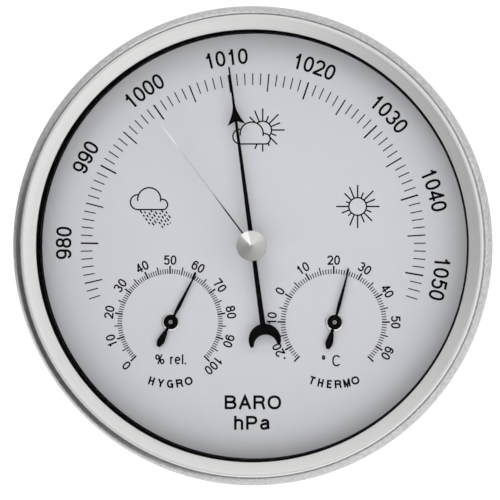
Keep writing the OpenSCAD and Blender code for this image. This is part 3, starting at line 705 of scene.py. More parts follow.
@dataclass(frozen=True)
class TintedNeedle(Finish):
    """Polished steel with a painted reflection: dark round the hub, through grey to bright at its tip."""

    length: float = 42.3
    tones: Sequence[Pair] = ((0.0, 0.02), (0.28, 0.04), (0.44, 0.78), (0.76, 0.84), (0.86, 1.0))

    def mix(self, r: Recipe) -> None:
        """A painted reflection by the distance from the pivot, as a share of the length, with a fine polish
        grain.
        """
        out = r.math("DIVIDE", r.vector("LENGTH", r.off_axis()), self.length)
        c = np.asarray(self.colour, float)
        grain = r.noise(r.place_mm(), 5.0)
        # Painted reflection: the ramp stands in for the needle mirroring dark and bright surroundings along
        # its length.
        r.shade(colour=r.ramp(out, [(at, c * tone) for at, tone in self.tones]), metallic=0.1,
                roughness=r.spread(grain, 0.28, 0.42))
        r.bump(grain, 0.001)


@dataclass(frozen=True)
class ClearGlass(Finish):
    """Thin mineral glass: you see through it, and it mirrors more towards grazing angles."""

    clear: float = 0.97
    index: float = 1.08

    def mix(self, r: Recipe) -> None:
        """A see-through shader and a mirror shared out by Fresnel."""
        see, mirror, fresnel = r.node("BsdfTransparent"), r.node("BsdfGlossy"), r.node("Fresnel")
        r.feed(see, {"Color": (self.clear, self.clear, self.clear, 1)})
        r.feed(mirror, {"Roughness": 0.03, "Color": linear(self.colour)})
        r.feed(fresnel, {"IOR": self.index})
        r.link(r.mixed(fresnel.outputs[0], see.outputs[0], mirror.outputs[0]), r.out.inputs["Surface"])
        r.tree.nodes.remove(r.shader)


class Stock:
    """The finishes on the shelf, by what they are used for."""

    case = LathedMetal("case_steel", (182, 182, 183), roughness=0.36, ring_scale=2.6, streak=60.0,
                       contrast=0.15, depth=0.008, anisotropy=0.45)
    bezel = LathedMetal("bezel_metal", (214, 214, 213), roughness=0.48, ring_scale=9.0, streak=0.8,
                        contrast=0.05, depth=0.003, anisotropy=0.35, metallic=0.6)
    knob = SpunCone("knob_aluminium", (206, 206, 203))
    bush = LathedMetal("bush_plate", (205, 205, 204), roughness=0.28, ring_scale=10.0, streak=0.5,
                       contrast=0.06)
    eyelet = Metal("eyelet_plate", (232, 232, 230), roughness=0.2, grain=5.0, contrast=0.06, depth=0.002)
    glass = ClearGlass("clear_glass", (255, 255, 255))
    dial = SatinDial("silver_dial", (229, 230, 235))
    ink = Solid("black_ink", (6, 6, 8), roughness=0.6, grain=4.0, contrast=0.2, depth=0.002, specular=0.08)
    fine_ink = Solid("fine_ink", (16, 16, 19), roughness=0.6, grain=4.0, contrast=0.15, depth=0.002,
                     specular=0.12)
    hand = Solid("black_hand_lacquer", (3, 3, 4), roughness=0.5, grain=5.0, contrast=0.3, depth=0.003,
                 specular=0.05)
    needle = TintedNeedle("set_needle_steel", (252, 252, 253))
    pin = Metal("pivot_steel", (196, 197, 199), roughness=0.25, grain=6.0, contrast=0.06, depth=0.002)
    spacer = Solid("black_spacer", (1, 1, 2), roughness=0.7, grain=2.5, contrast=0.5, depth=0.006,
                   specular=0.02)
    rubber = Solid("gasket_rubber", (16, 16, 17), roughness=0.8, grain=3.0, contrast=0.2, depth=0.02)
    moulded = Solid("moulded_black", (33, 33, 35), roughness=0.55, grain=1.6, contrast=0.12, depth=0.02)
    grey_moulded = Solid("moulded_grey", (122, 124, 126), roughness=0.55, grain=1.6, depth=0.02)
    zinc = Metal("zinc_steel", (176, 180, 186), roughness=0.36, grain=1.2, contrast=0.12, depth=0.006)
    wire = Metal("steel_wire", (168, 170, 174), grain=2.0)
    brass = Metal("brass", (201, 163, 84), grain=1.5, contrast=0.1, depth=0.005)
    capsule = Metal("capsule_alloy", (205, 201, 188), roughness=0.28, grain=1.0)
    spring = Metal("spring_steel", (128, 136, 150), grain=1.2, contrast=0.15)
    bimetal = Metal("bimetal", (176, 132, 104), roughness=0.35, grain=1.5, contrast=0.12)
    aluminium = Metal("pressed_aluminium", (200, 201, 203), roughness=0.38, grain=1.2, depth=0.006)


SLOT_FINISH: Dict[str, Finish] = {
    "brushed_case": Stock.zinc,
    "satin_bezel": Stock.zinc,
    "clear_glass": Stock.glass,
    "black_rubber": Stock.rubber,
    "black_plastic": Stock.moulded,
    "silver_dial": Stock.dial,
    "grey_plastic": Stock.grey_moulded,
    "zinc_steel": Stock.zinc,
    "steel_wire": Stock.wire,
    "brass": Stock.brass,
    "capsule_alloy": Stock.capsule,
    "spring_steel": Stock.spring,
    "black_hand": Stock.hand,
    "turned_aluminium": Stock.aluminium,
    "polished_needle": Stock.needle,
    "bimetal": Stock.bimetal,
}


# ---- case, bezel and glass ----


@dataclass
class Case:
    """The spun metal drum with its rounded front shoulder, whose lip holds the bezel."""

    wall: float = 1.2
    shoulder_r: float = 3.0
    lip_in: float = 0.8
    lip_t: float = 1.0
    lip_round: float = 0.35
    foot_round: float = 0.5
    shoulder_to: float = 74.0
    groove_d: float = 0.8
    groove_ease: float = 0.04
    bead_z: float = 6.0
    bead: float = 1.2
    drum: Extent = measured("case_drum")

    def profile(self) -> List[Pair]:
        """Closed section: up the wall, round the shoulder, down the lip and back inside."""
        r, top, s = self.drum.radius, self.drum.front, self.shoulder_r
        lip, floor = r - s - self.lip_in, top - self.groove_d
        lip_foot = extent("dial_plate").back
        inside, centre = r - self.wall, (r - s, top - s)
        shoulder_end = r - s + s * math.cos(math.radians(self.shoulder_to))
        return (
            [(inside, 0.0)]
            + arc((r - self.foot_round, self.foot_round), self.foot_round, -90, 0, 5)
            + [(r, 8.0), (r, 16.0), (r, 24.0)]
            + arc(centre, s, 0, self.shoulder_to, 20)
            + [(shoulder_end - self.groove_ease, floor)]
            + arc((lip + self.lip_round, floor - self.lip_round), self.lip_round, 90, 180, 5)
            + [(lip, lip_foot), (lip + self.lip_t, lip_foot), (lip + self.lip_t, top - self.wall)]
            + arc(centre, s - self.wall, 90, 0, 8)
            + [(inside, self.bead_z + self.bead), (inside - self.bead, self.bead_z + self.bead)]
            + [(inside - self.bead, self.bead_z), (inside, self.bead_z)]
        )

    def build(self) -> None:
        """Makes the drum."""
        mesh_piece("drum_shell", revolved(self.profile(), sides=256), Stock.case,
                   stands_for=["case_drum"])


@dataclass
class Bezel:
    """The bright ring: a rolled outer edge, a face that slopes in to the glass, and a hidden skirt."""

    roll: float = 1.2
    brow: float = 0.5
    crest_in: float = 0.85
    slope_w: float = 3.35
    sill: float = 0.24
    sill_round: float = 0.16
    skirt_t: float = 1.1
    skirt_r: float = 62.1
    chamfer: float = 0.2
    clearance: float = 0.05
    ring: Extent = measured("bezel_ring")
    shoulder_z: float = field(default_factory=lambda: extent("case_drum").front)
    glass_z: float = field(default_factory=lambda: extent("glass").front)

    def profile(self) -> List[Pair]:
        """Closed section: from the window's edge up the slope, over the roll and down the skirt."""
        top, back, foot = self.ring.front, self.ring.back, self.shoulder_z + self.clearance
        crest = self.ring.radius - self.crest_in
        window, sill = crest - self.slope_w, self.glass_z + self.sill
        skirt, inside = self.skirt_r, self.skirt_r - self.skirt_t
        brow = arc((0, 0), 1, 88, -50, 26)
        return (
            [(window, self.glass_z), (window, sill)]
            + arc((window + self.sill_round, sill), self.sill_round, 180, 130, 4)
            + arc((crest, top - self.roll), self.roll, 126, 92, 9)
            + [(crest + self.brow * c, top - self.roll + self.roll * s) for c, s in brow]
            + [(skirt + self.chamfer, foot), (skirt, foot), (skirt, back)]
            + [(inside, back), (inside, self.glass_z)]
        )

    def build(self) -> None:
        """Makes the ring."""
        mesh_piece("bezel", revolved(self.profile(), sides=256), Stock.bezel,
                   stands_for=["bezel_ring"], crease=38)


@dataclass
class Window:
    """The flat glass with its ground edges and the hole for the bush."""

    ease: float = 0.25
    pane: Extent = measured("glass")
    bore: float = 2.4

    def build(self) -> None:
        """Makes the pane: a ring section with its four corners eased."""
        r, z0, z1, e = self.pane.radius, self.pane.back, self.pane.front, self.ease
        profile = [
            (self.bore, z0 + e), (self.bore + e, z0), (r - e, z0), (r, z0 + e),
            (r, z1 - e), (r - e, z1), (self.bore + e, z1), (self.bore, z1 - e),
        ]
        mesh_piece("window_pane", revolved(profile), Stock.glass, stands_for=["glass"])


@dataclass
class Spacer:
    """The black ring between the dial and the glass: it shows as a black line inside the bezel."""

    inner_r: float = 59.15
    outer_r: float = 60.7
    step: float = 0.35
    sits_at: Pair = (0.32, -0.05)

    def build(self) -> None:
        """Makes the ring."""
        e = extent("dial_spacer")
        r, z0, z1 = self.inner_r, e.back, e.front
        profile = [
            (r, z0), (self.outer_r, z0), (self.outer_r, z1), (r + self.step, z1),
            (r + self.step, z1 - 0.9), (r, z1 - 1.3), (r, z0 + 0.6),
        ]
        mesh_piece("spacer_ring", revolved(profile, self.sits_at), Stock.spacer,
                   stands_for=["dial_spacer"])


# ---- letters and signs ----


class Weight(Enum):
    """How heavy the printed strokes are, as a share of their height."""

    FIGURE = 0.150
    SMALL_FIGURE = 0.165
    BOLD = 0.180
    EXTRA_BOLD = 0.215


@dataclass(frozen=True)
class Stroke:
    """One pen stroke in a letter's unit box. Each end runs on by its share of half the pen's width."""

    path: Array
    loop: bool = False
    start: float = 0.0
    end: float = 0.0


ROUNDNESS = 2.25


def bow(cx: float, cy: float, rx: float, ry: float, a0: float, a1: float, n: int = 26) -> Array:
    """A stretch of a slightly squared oval: x = cx + rx sgn(cos a) |cos a|^(2/p), and y with the sine."""
    a = np.radians(np.linspace(a0, a1, n))
    c, s = np.cos(a), np.sin(a)
    e = 2 / ROUNDNESS
    return np.column_stack([cx + rx * np.sign(c) * np.abs(c) ** e, cy + ry * np.sign(s) * np.abs(s) ** e])


def flowing(points: Sequence[Place], steps: int = 8) -> Array:
    """A smooth line through points, by Catmull-Rom pieces: each has the slope from its neighbours."""
    p = np.asarray(points, float)
    q = np.vstack([2 * p[0] - p[1], p, 2 * p[-1] - p[-2]])
    t = np.linspace(0, 1, steps, endpoint=False)[:, None, None]
    a, b, c, d = q[:-3], q[1:-2], q[2:-1], q[3:]
    curve = 0.5 * (2 * b + (c - a) * t + (2 * a - 5 * b + 4 * c - d) * t**2 + (3 * b - a - 3 * c + d) * t**3)
    return np.vstack([curve.transpose(1, 0, 2).reshape(-1, 2), p[-1:]])


def oval(cx: float, cy: float, rx: float, ry: float) -> Stroke:
    """A whole oval as one closed stroke."""
    return Stroke(bow(cx, cy, rx, ry, 90, 440, 48), loop=True)


def line(*points: Place, start: float = 1.0, end: float = 1.0) -> Stroke:
    """Straight stretches that run on by half the pen's width at their ends."""
    return Stroke(np.asarray(points, float), start=start, end=end)


def six() -> List[Stroke]:
    """A bowl with a bow over it that comes down its left side."""
    return [
        oval(0.5, 0.325, 0.5, 0.325),
        Stroke(np.vstack([bow(0.52, 0.60, 0.5, 0.40, 28, 180), [[0.0, 0.33]]])),
    ]


def letters() -> Dict[str, Tuple[float, List[Stroke]]]:
    """Plain upright letters and figures, drawn for this instrument: width over height, and strokes."""
    join = np.vstack
    six_s = six()
    nine = [Stroke(np.array([1.0, 1.0]) - s.path, s.loop) for s in six_s]
    return {
        "0": (0.62, [oval(0.5, 0.5, 0.5, 0.5)]),
        "1": (0.62, [line((0.62, 0), (0.62, 1)),
                     Stroke(flowing([(0.14, 0.765), (0.32, 0.775), (0.48, 0.84), (0.58, 0.99)]))]),
        "2": (0.62, [Stroke(join([bow(0.5, 0.71, 0.5, 0.29, 175, -28),
                                  flowing([(0.83, 0.50), (0.46, 0.27), (0.12, 0.10), (0.02, 0.0)])])),
                     line((0.0, 0), (1, 0))]),
        "3": (0.62, [Stroke(bow(0.48, 0.745, 0.46, 0.255, 160, -90)),
                     Stroke(bow(0.48, 0.26, 0.52, 0.26, 90, -165))]),
        "4": (0.64, [line((0.76, 0), (0.76, 1)), line((0.76, 1.0), (0.0, 0.26), start=0.4, end=0.4),
                     line((0, 0.25), (1, 0.25))]),
        "5": (0.62, [line((0.92, 1), (0.20, 1), (0.09, 0.48), end=0),
                     Stroke(bow(0.47, 0.335, 0.53, 0.335, 148, -158))]),
        "6": (0.62, six_s),
        "7": (0.62, [line((0, 1), (1, 1)),
                     Stroke(flowing([(0.98, 0.99), (0.68, 0.62), (0.47, 0.30), (0.38, -0.02)]), end=0.8)]),
        "8": (0.62, [oval(0.5, 0.76, 0.44, 0.24), oval(0.5, 0.26, 0.5, 0.27)]),
        "9": (0.62, nine),
        "-": (0.36, [line((0.1, 0.38), (0.9, 0.38), start=0.5, end=0.5)]),
        "A": (0.87, [line((0, 0), (0.5, 1), (1, 0)), line((0.2, 0.32), (0.8, 0.32), start=0, end=0)]),
        "B": (0.85, [line((0, 0), (0, 1)),
                     Stroke(join([[[0.0, 1.0]], bow(0.5, 0.76, 0.42, 0.24, 90, -90), [[0.0, 0.52]]])),
                     Stroke(join([[[0.0, 0.52]], bow(0.54, 0.26, 0.46, 0.26, 90, -90), [[0.0, 0.0]]]))]),
        "C": (0.76, [Stroke(bow(0.5, 0.5, 0.5, 0.5, 38, 322, 40))]),
        "E": (0.60, [line((1, 1), (0, 1), (0, 0), (1, 0)), line((0, 0.52), (0.92, 0.52), start=0, end=0.5)]),
        "G": (0.78, [Stroke(bow(0.5, 0.5, 0.5, 0.5, 38, 345, 44)),
                     line((0.56, 0.47), (1, 0.47), (1, 0), start=0)]),
        "H": (0.68, [line((0, 0), (0, 1)), line((1, 0), (1, 1)), line((0, 0.52), (1, 0.52), start=0, end=0)]),
        "M": (0.82, [line((0, 0), (0, 1)), line((1, 0), (1, 1)),
                     line((0, 1), (0.5, 0), (1, 1), start=0.5, end=0.5)]),
        "O": (0.97, [oval(0.5, 0.5, 0.5, 0.5)]),
        "P": (0.80, [line((0, 0), (0, 1)),
                     Stroke(join([[[0.0, 1.0]], bow(0.56, 0.73, 0.44, 0.27, 90, -90), [[0.0, 0.46]]]))]),
        "R": (0.84, [line((0, 0), (0, 1)),
                     Stroke(join([[[0.0, 1.0]], bow(0.54, 0.75, 0.42, 0.25, 90, -90), [[0.0, 0.50]]])),
                     Stroke(flowing([(0.55, 0.50), (0.84, 0.40), (0.93, 0.15), (1.0, 0.0)]), end=1.0)]),
        "T": (0.66, [line((0, 1), (1, 1)), line((0.5, 1), (0.5, 0))]),
        "Y": (0.72, [line((0, 1), (0.5, 0.42)), line((1, 1), (0.5, 0.42)),
                     line((0.5, 0.45), (0.5, 0), start=0)]),
        "a": (0.70, [Stroke(join([bow(0.5, 0.50, 0.42, 0.24, 165, 10), [[0.92, 0.12], [1.04, 0.0]]]), end=0.2),
                     Stroke(flowing([(0.92, 0.46), (0.5, 0.41), (0.08, 0.34), (0.0, 0.19), (0.12, 0.03),
                                     (0.42, 0.0), (0.78, 0.08), (0.92, 0.26)]))]),
        "e": (0.58, [Stroke(bow(0.5, 0.37, 0.5, 0.37, 0, 318, 40)),
                     line((0, 0.39), (1, 0.39), start=0, end=0)]),
        "h": (0.66, [line((0, 0), (0, 1)),
                     Stroke(join([bow(0.5, 0.48, 0.5, 0.26, 180, 0), [[1.0, 0.0]]]), end=1.0)]),
        "l": (0.14, [line((0.5, 0), (0.5, 1))]),
        "r": (0.34, [line((0, 0), (0, 0.74)),
                     Stroke(flowing([(0, 0.42), (0.25, 0.66), (1.0, 0.74)]), end=0.5)]),
        ".": (0.16, [line((0.5, 0), (0.5, 0.02), start=1, end=0.8)]),
        "%": (0.95, [oval(0.2, 0.76, 0.2, 0.24), oval(0.8, 0.24, 0.2, 0.24), line((0.72, 1), (0.28, 0))]),
        "°": (0.30, [oval(0.5, 0.82, 0.5, 0.16)]),
        " ": (0.28, []),
    }


LETTERS = letters()


@dataclass
class Print:
    """Ink on the dial: every stroke is a very thin raised band, and all of them make one piece."""

    name: str
    finish: Finish
    face: float
    thick: float = 0.03
    marks: List[Surface] = field(default_factory=list)

    def band(self, path: Array, width: float, loop: bool = False) -> None:
        """Prints a line along a path."""
        self.marks.append(ribbon(path, width, self.face, self.face + self.thick, loop))

    def letter(self, char: str, height: float, weight: float, at: Place, turn: float) -> None:
        """Prints one letter with its middle at a place.

        Args:
            char: the letter.
            height: height of a capital.
            weight: width of the pen.
            at: (x, y) of the letter's middle.
            turn: degrees clockwise that it leans.
        """
        wide, strokes = LETTERS[char]
        half = weight / 2
        room = np.array([max(wide * height - weight, 0.0), height - weight])
        for s in strokes:
            p = half + s.path * room - np.array([wide * height, height]) / 2
            if s.start:
                d = p[0] - p[1]
                p[0] += d / np.linalg.norm(d) * half * s.start
            if s.end:
                d = p[-1] - p[-2]
                p[-1] += d / np.linalg.norm(d) * half * s.end
            self.band(turned(p, turn, at), weight, s.loop)

    def line_of(self, text: str, height: float, weight: float, middle: Place, gap: float) -> None:
        """Prints straight text with its middle at a place; gap is the space between letters, in heights."""
        widths = np.array([LETTERS[c][0] * height for c in text])
        starts = np.concatenate([[0], np.cumsum(widths + gap * height)])
        total = starts[-1] - gap * height
        for c, w, x in zip(text, widths, starts):
            self.letter(c, height, weight, (middle[0] - total / 2 + x + w / 2, middle[1]), 0)

    def on_arc(
        self, text: str, height: float, weight: float, centre: Place, r: float, angle: float, step: float
    ) -> None:
        """Prints text round an arc: upright at its top for a positive step, at its foot for a negative one.

        Args:
            text: what is printed.
            height: height of a capital.
            weight: width of the pen.
            centre: the arc's middle.
            r: distance of the letters' middles from it.
            angle: where the text's middle lies.
            step: degrees from one letter to the next.
        """
        for i, c in enumerate(text):
            t = angle + (i - (len(text) - 1) / 2) * step
            at = np.asarray(centre, float) + r * heading(t)
            self.letter(c, height, weight, at, t if step > 0 else t - 180)

    def ticks(self, angles: Array, r0: float, r1: float, width: float, centre: Place) -> None:
        """Prints straight marks between two radii."""
        for t in angles:
            d = heading(float(t))
            c = np.asarray(centre, float)
            self.band(np.array([c + r0 * d, c + r1 * d]), width)

    def build(self) -> None:
        """Makes the piece."""
        mesh_piece(self.name, joined(self.marks), self.finish)


@dataclass
class PressureScale:
    """The long scale round the dial, from 973 to 1053, with its figures and words."""

    face: float
    low: int = 973
    high: int = 1053
    middle: int = 1013
    degrees_each: float = 2.7
    outer_r: float = 48.1
    fine_r: float = 44.8
    long_r: float = 43.1
    figure_r: float = 52.9
    figure_h: float = 4.4
    word_h: float = 3.9
    fine_pen: float = 0.29
    five_pen: float = 0.37
    ten_pen: float = 0.45
    name_at: Pair = (0.05, -43.6)
    unit_at: Pair = (-0.2, -49.3)

    def angle(self, value: float) -> float:
        """Where a pressure stands on the dial."""
        return (value - self.middle) * self.degrees_each

    def build(self) -> None:
        """Prints the marks, the figures and the two words."""
        bold = Print("pressure_scale_print", Stock.ink, self.face)
        fine = Print("pressure_marks_print", Stock.fine_ink, self.face)
        values = np.arange(self.low, self.high + 1)
        by_five = values % 5 == 0
        by_ten = values % 10 == 0
        fine.ticks(self.angle(values[~by_five]), self.fine_r, self.outer_r, self.fine_pen, (0, 0))
        fine.ticks(self.angle(values[by_five & ~by_ten]), self.long_r, self.outer_r, self.five_pen, (0, 0))
        bold.ticks(self.angle(values[by_ten]), self.long_r, self.outer_r, self.ten_pen, (0, 0))
        pen = self.figure_h * Weight.FIGURE.value
        step = math.degrees(FIGURE_SPACING * self.figure_h / self.figure_r)
        for value in range(980, self.high, 10):
            bold.on_arc(str(value), self.figure_h, pen, (0, 0), self.figure_r, self.angle(value), step)
        word_pen = self.word_h * Weight.BOLD.value
        bold.line_of("BARO", self.word_h, word_pen, self.name_at, 0.17)
        bold.line_of("hPa", self.word_h, word_pen, self.unit_at, 0.20)
        bold.build()
        fine.build()


@dataclass
class SmallScale:
    """One of the two small dials: marks, figures, its unit and its name on a smile below."""

    name: str
    face: float
    centre: Pair
    low: int
    high: int
    middle: float
    degrees_each: float
    figures: Sequence[int]
    unit: str
    unit_at: Pair
    unit_h: float
    unit_gap: float
    word_step: float
    inner_r: float = 13.4
    short_r: float = 14.75
    long_r: float = 15.6
    figure_r: float = 17.25
    figure_h: float = 2.65
    word_r: float = 17.3
    word_h: float = 2.3
    fine_pen: float = 0.26
    five_pen: float = 0.33
    ten_pen: float = 0.45
    unit_pen: float = 0.43

    def angle(self, value: float) -> float:
        """Where a value stands on the small dial."""
        return (value - self.middle) * self.degrees_each

    def build(self) -> None:
        """Prints the small dial."""
        bold = Print(f"{self.name}_scale_print", Stock.ink, self.face)
        fine = Print(f"{self.name}_marks_print", Stock.fine_ink, self.face)
        values = np.arange(self.low, self.high + 1)
        ends = (values == self.low) | (values == self.high)
        tens = values % 10 == 0
        fives = (values % 5 == 0) & ~tens
        r0, c = self.inner_r, self.centre
        fine.ticks(self.angle(values[~tens & ~fives]), r0, self.short_r, self.fine_pen, c)
        fine.ticks(self.angle(values[fives & ~ends]), r0, self.long_r, self.five_pen, c)
        bold.ticks(self.angle(values[tens | (ends & fives)]), r0, self.long_r, self.ten_pen, c)
        pen = self.figure_h * Weight.SMALL_FIGURE.value
        step = math.degrees(FIGURE_SPACING * self.figure_h / self.figure_r)
        for value in self.figures:
            bold.on_arc(str(value), self.figure_h, pen, c, self.figure_r, self.angle(value), step)
        bold.line_of(self.unit, self.unit_h, self.unit_pen, self.unit_at, self.unit_gap)
        word_pen = self.word_h * Weight.EXTRA_BOLD.value
        bold.on_arc(self.name.upper(), self.word_h, word_pen, c, self.word_r, 180, -self.word_step)
        bold.build()
        fine.build()


@dataclass
class WeatherSigns:
    """Three line drawings on the dial: rain, changeable and fair."""

    face: float
    pen: float = 0.39
    sun_r: float = 2.45
    fair: Pair = (29.2, 10.95)
    changeable: Pair = (2.79, 32.26)
    wet: Pair = (-28.9, 13.0)
    rounds: Sequence[Tuple[Pair, float]] = (
        ((0, 0), 3.22), ((-3.18, -0.8), 2.07), ((3.65, -1.5), 1.5),
    )
    foot: float = 2.88
    streaks: int = 8
    streak_gap: float = 1.0
    streak_from: float = -2.7
    slant: float = 145.0
    fall: float = 6.2
    rain_edge: float = 6.0
    dashes: Place = (1.0, 0.6, 0.8, 0.7)
    dash_gap: float = 0.55
    cloud_off: Pair = (-3.07, -1.0)
    ray_ends: Place = (
        6.0, 4.2, 6.2, 5.25, 6.1, 4.1, 5.7, 4.8, 6.0, 5.7, 3.7, 4.8, 6.0, 3.5, 5.2, 5.9,
    )

    def seen(self, path: Array, cloud: Optional[Place]) -> Array:
        """Cuts away what a cloud hides: points inside its three rounds or over its foot are dropped."""
        if cloud is None:
            return path
        p = path - np.asarray(cloud, float)
        hidden = np.zeros(len(p), bool)
        for centre, r in self.rounds:
            hidden |= np.linalg.norm(p - np.asarray(centre), axis=1) < r
        (left, _), (right, _) = self.rounds[1:]
        hidden |= (p[:, 0] > left[0]) & (p[:, 0] < right[0]) & (p[:, 1] > -self.foot) & (p[:, 1] < 0)
        return path[~hidden]

    def sun(self, ink: Print, centre: Place, cloud: Optional[Place] = None) -> None:
        """Prints the sun: a ring and sixteen rays of uneven lengths, less what a cloud hides."""
        c = np.asarray(centre, float)
        ring = c + np.array(arc((0, 0), self.sun_r, -90, 270, 97))
        ink.band(self.seen(ring, cloud), self.pen)
        turn = 360 / len(self.ray_ends)
        for i, r in enumerate(self.ray_ends):
            ray = self.seen(c + np.linspace(self.sun_r, r, 24)[:, None] * heading(i * turn), cloud)
            if len(ray) > 2:
                ink.band(ray[[0, -1]], self.pen)

    def cloud(self, ink: Print, at: Place) -> None:
        """Prints a cloud's outline: a big round top between two smaller ones, on a flat foot."""
        c = np.asarray(at, float)
        (top, top_r), (left, left_r), (right, right_r) = self.rounds
        left_arc = np.array(arc(left, left_r, 80, 268, 20))
        right_arc = np.array(arc(right, right_r, -78, 104, 18))
        left_arc[-1, 1] = right_arc[0, 1] = -self.foot
        ink.band(c + np.array(arc(top, top_r, -12, 189, 30)), self.pen)
        ink.band(c + np.vstack([left_arc, right_arc]), self.pen)

    def rain(self, ink: Print, at: Place) -> None:
        """Prints slanting lines of rain below a cloud, broken into short uneven dashes."""
        down = heading(self.slant)
        for i in range(self.streaks):
            x = self.streak_gap * i + self.streak_from
            start = np.asarray(at) + np.array([x, -self.foot])
            length = min(self.fall - 0.45 * (i % 3), (self.rain_edge - x) / down[0]) - 1.2 * (i == 0)
            gone, k = 0.25 + 0.4 * (i % 3), i
            while gone < length - 0.2:
                dash = self.dashes[k % len(self.dashes)]
                ink.band(start + np.outer([gone, min(gone + dash, length)], down), self.pen)
                gone += dash + self.dash_gap
                k += 1

    def build(self) -> None:
        """Prints the three signs."""
        ink = Print("weather_signs_print", Stock.ink, self.face)
        self.sun(ink, self.fair)
        before_sun = np.asarray(self.changeable) + np.asarray(self.cloud_off)
        self.sun(ink, self.changeable, before_sun)
        self.cloud(ink, before_sun)
        self.cloud(ink, self.wet)
        self.rain(ink, self.wet)
        ink.build()


# ---- hands ----


def symmetric(half: Sequence[Pair]) -> Array:
    """An outline from its right half, listed upwards as (half width, y), and anticlockwise all round."""
    right = np.asarray(half, float)
    return np.vstack([right, right[::-1] * np.array([-1, 1])])


@dataclass
class PressureHand:
    """The long black hand: a barbed arrow in front, and a crescent on its tail."""

    length: float = 50.1
    barb_at: float = 33.8
    barb_w: float = 2.6
    neck: float = 0.35
    flank: float = 5.9
    notch_at: float = 34.8
    crescent_at: float = 26.3
    crescent_r: float = 4.5
    bite: Pair = (1.8, 3.25)
    turn: float = -7.5

    def arrow(self) -> Array:
        """Outline from the hub to the tip: the barb's flank narrows as the 1.8 power of the way left."""
        end = self.barb_at + self.flank
        y = np.linspace(self.barb_at, end, 16)
        w = self.neck + (self.barb_w - self.neck) * ((end - y) / self.flank) ** 1.8
        tip = [(0.22, self.length - 0.2), (0.17, self.length)]
        return symmetric([(0.68, 0.0), (0.37, self.notch_at)] + list(zip(w, y)) + tip)

    def tail(self) -> Array:
        """Outline of the bar behind the hub."""
        end = self.crescent_r - self.crescent_at - 0.4
        return symmetric([(0.74, end), (0.6, 0.0)])

    def crescent(self) -> Array:
        """A disc with a round bite out of its outer side: two arcs that meet at the horns."""
        drop, r = self.bite
        big = self.crescent_r
        y = (big**2 - r**2 - drop**2) / (-2 * drop)
        a = math.degrees(math.asin(-y / big))
        b = math.degrees(math.atan2(y + drop, math.sqrt(big**2 - y**2)))
        outer = arc((0, -self.crescent_at), big, -a, 180 + a, 48)
        inner = arc((0, -self.crescent_at - drop), r, 180 - b, b, 36)
        return np.asarray(outer + inner[1:-1])

    def build(self) -> None:
        """Makes the hand, with a domed hub."""
        e = extent("baro_pointer")
        z0 = e.front - 1.0
        z1 = z0 + BLADE_T
        flats = [self.arrow(), self.tail(), self.crescent()]
        parts = [slab(turned(o, self.turn), z0, z1) for o in flats]
        hub = [
            (0.0, e.back), (1.75, e.back), (1.9, e.back + 0.15), (1.9, z0 - 0.02), (2.6, z0 - 0.02),
            (2.6, z1 - 0.05), (2.5, z1 + 0.03), (1.9, z1 + 0.06), (1.9, e.front - 0.15), (1.75, e.front),
            (0.0, e.front),
        ]
        parts.append(revolved(hub, sides=SMALL_ROUND))
        mesh_piece("pressure_hand", joined(parts), Stock.hand, "pressure_train",
                   stands_for=["baro_pointer"])


@dataclass
class SmallHand:
    """A small black hand: a slim blade that swells near its hub, and a blunt lozenge behind."""

    node: str
    body: str
    turn: float
    length: float = 15.3
    tail: float = 7.7

    def build(self) -> None:
        """Makes the hand round its own pivot."""
        e = extent(self.node)
        arbor = extent(self.node.replace("pointer", "arbor"))
        cx, cy = arbor.centre
        hub_z, top = e.back, e.front
        z0 = hub_z + 0.2
        y = np.linspace(1.2, self.length, 20)
        w = np.interp(y, [1.2, 4.9, self.length], [0.30, 0.50, 0.16])
        blade = symmetric([(0.27, 0.0)] + list(zip(w, y)))
        t = self.tail
        lozenge = symmetric([(0.45, -t), (1.0, 1.3 - t), (1.05, 2.0 - t), (0.6, 4.5 - t), (0.3, 4.8 - t),
                             (0.45, 5.0 - t), (0.45, 5.4 - t), (0.32, 5.6 - t), (0.32, 0.0)])
        parts = [slab(turned(o, self.turn, (cx, cy)), z0, z0 + BLADE_T) for o in (blade, lozenge)]
        hub = [(0.0, hub_z), (1.85, hub_z), (2.0, hub_z + 0.12), (2.0, top - 0.18), (1.82, top), (1.0, top),
               (0.8, top - 0.06), (0.0, top - 0.06)]
        parts.append(revolved(hub, (cx, cy), SMALL_ROUND))
        mesh_piece(f"{self.node}_hand", joined(parts), Stock.hand, self.body,
                   stands_for=[self.node])
        pin_top = arbor.front
        pin = [(0.0, top - 0.05), (0.55, top - 0.05), (0.55, pin_top - 0.15), (0.42, pin_top - 0.02),
               (0.2, pin_top), (0.0, pin_top)]
        mesh_piece(f"{self.node}_pin", revolved(pin, (cx, cy), 32), Stock.pin, self.body)


@dataclass
class SetHand:
    """The thin bright hand behind the glass that the knob turns, and its hub."""

    turn: float = -36.9
    length: float = 42.3
    width: float = 0.42

    def build(self) -> None:
        """Makes the hand: a ridged needle on a small hub."""
        e = extent("set_hand")
        z0 = e.back + 0.3
        w = self.width / 2
        needle = symmetric([(w, 0.0), (w * 0.9, self.length - 4), (w * 0.35, self.length)])
        blade = slab(turned(needle, self.turn), z0, z0 + BLADE_T, 0.04)
        hub = [(0.0, e.back), (2.05, e.back), (2.2, e.back + 0.15), (2.2, e.front - 0.2), (2.0, e.front),
               (0.0, e.front)]
        hand = joined([blade, revolved(hub, sides=SMALL_ROUND)])
        mesh_piece("set_needle", hand, Stock.needle, "set_marker", stands_for=["set_hand"])


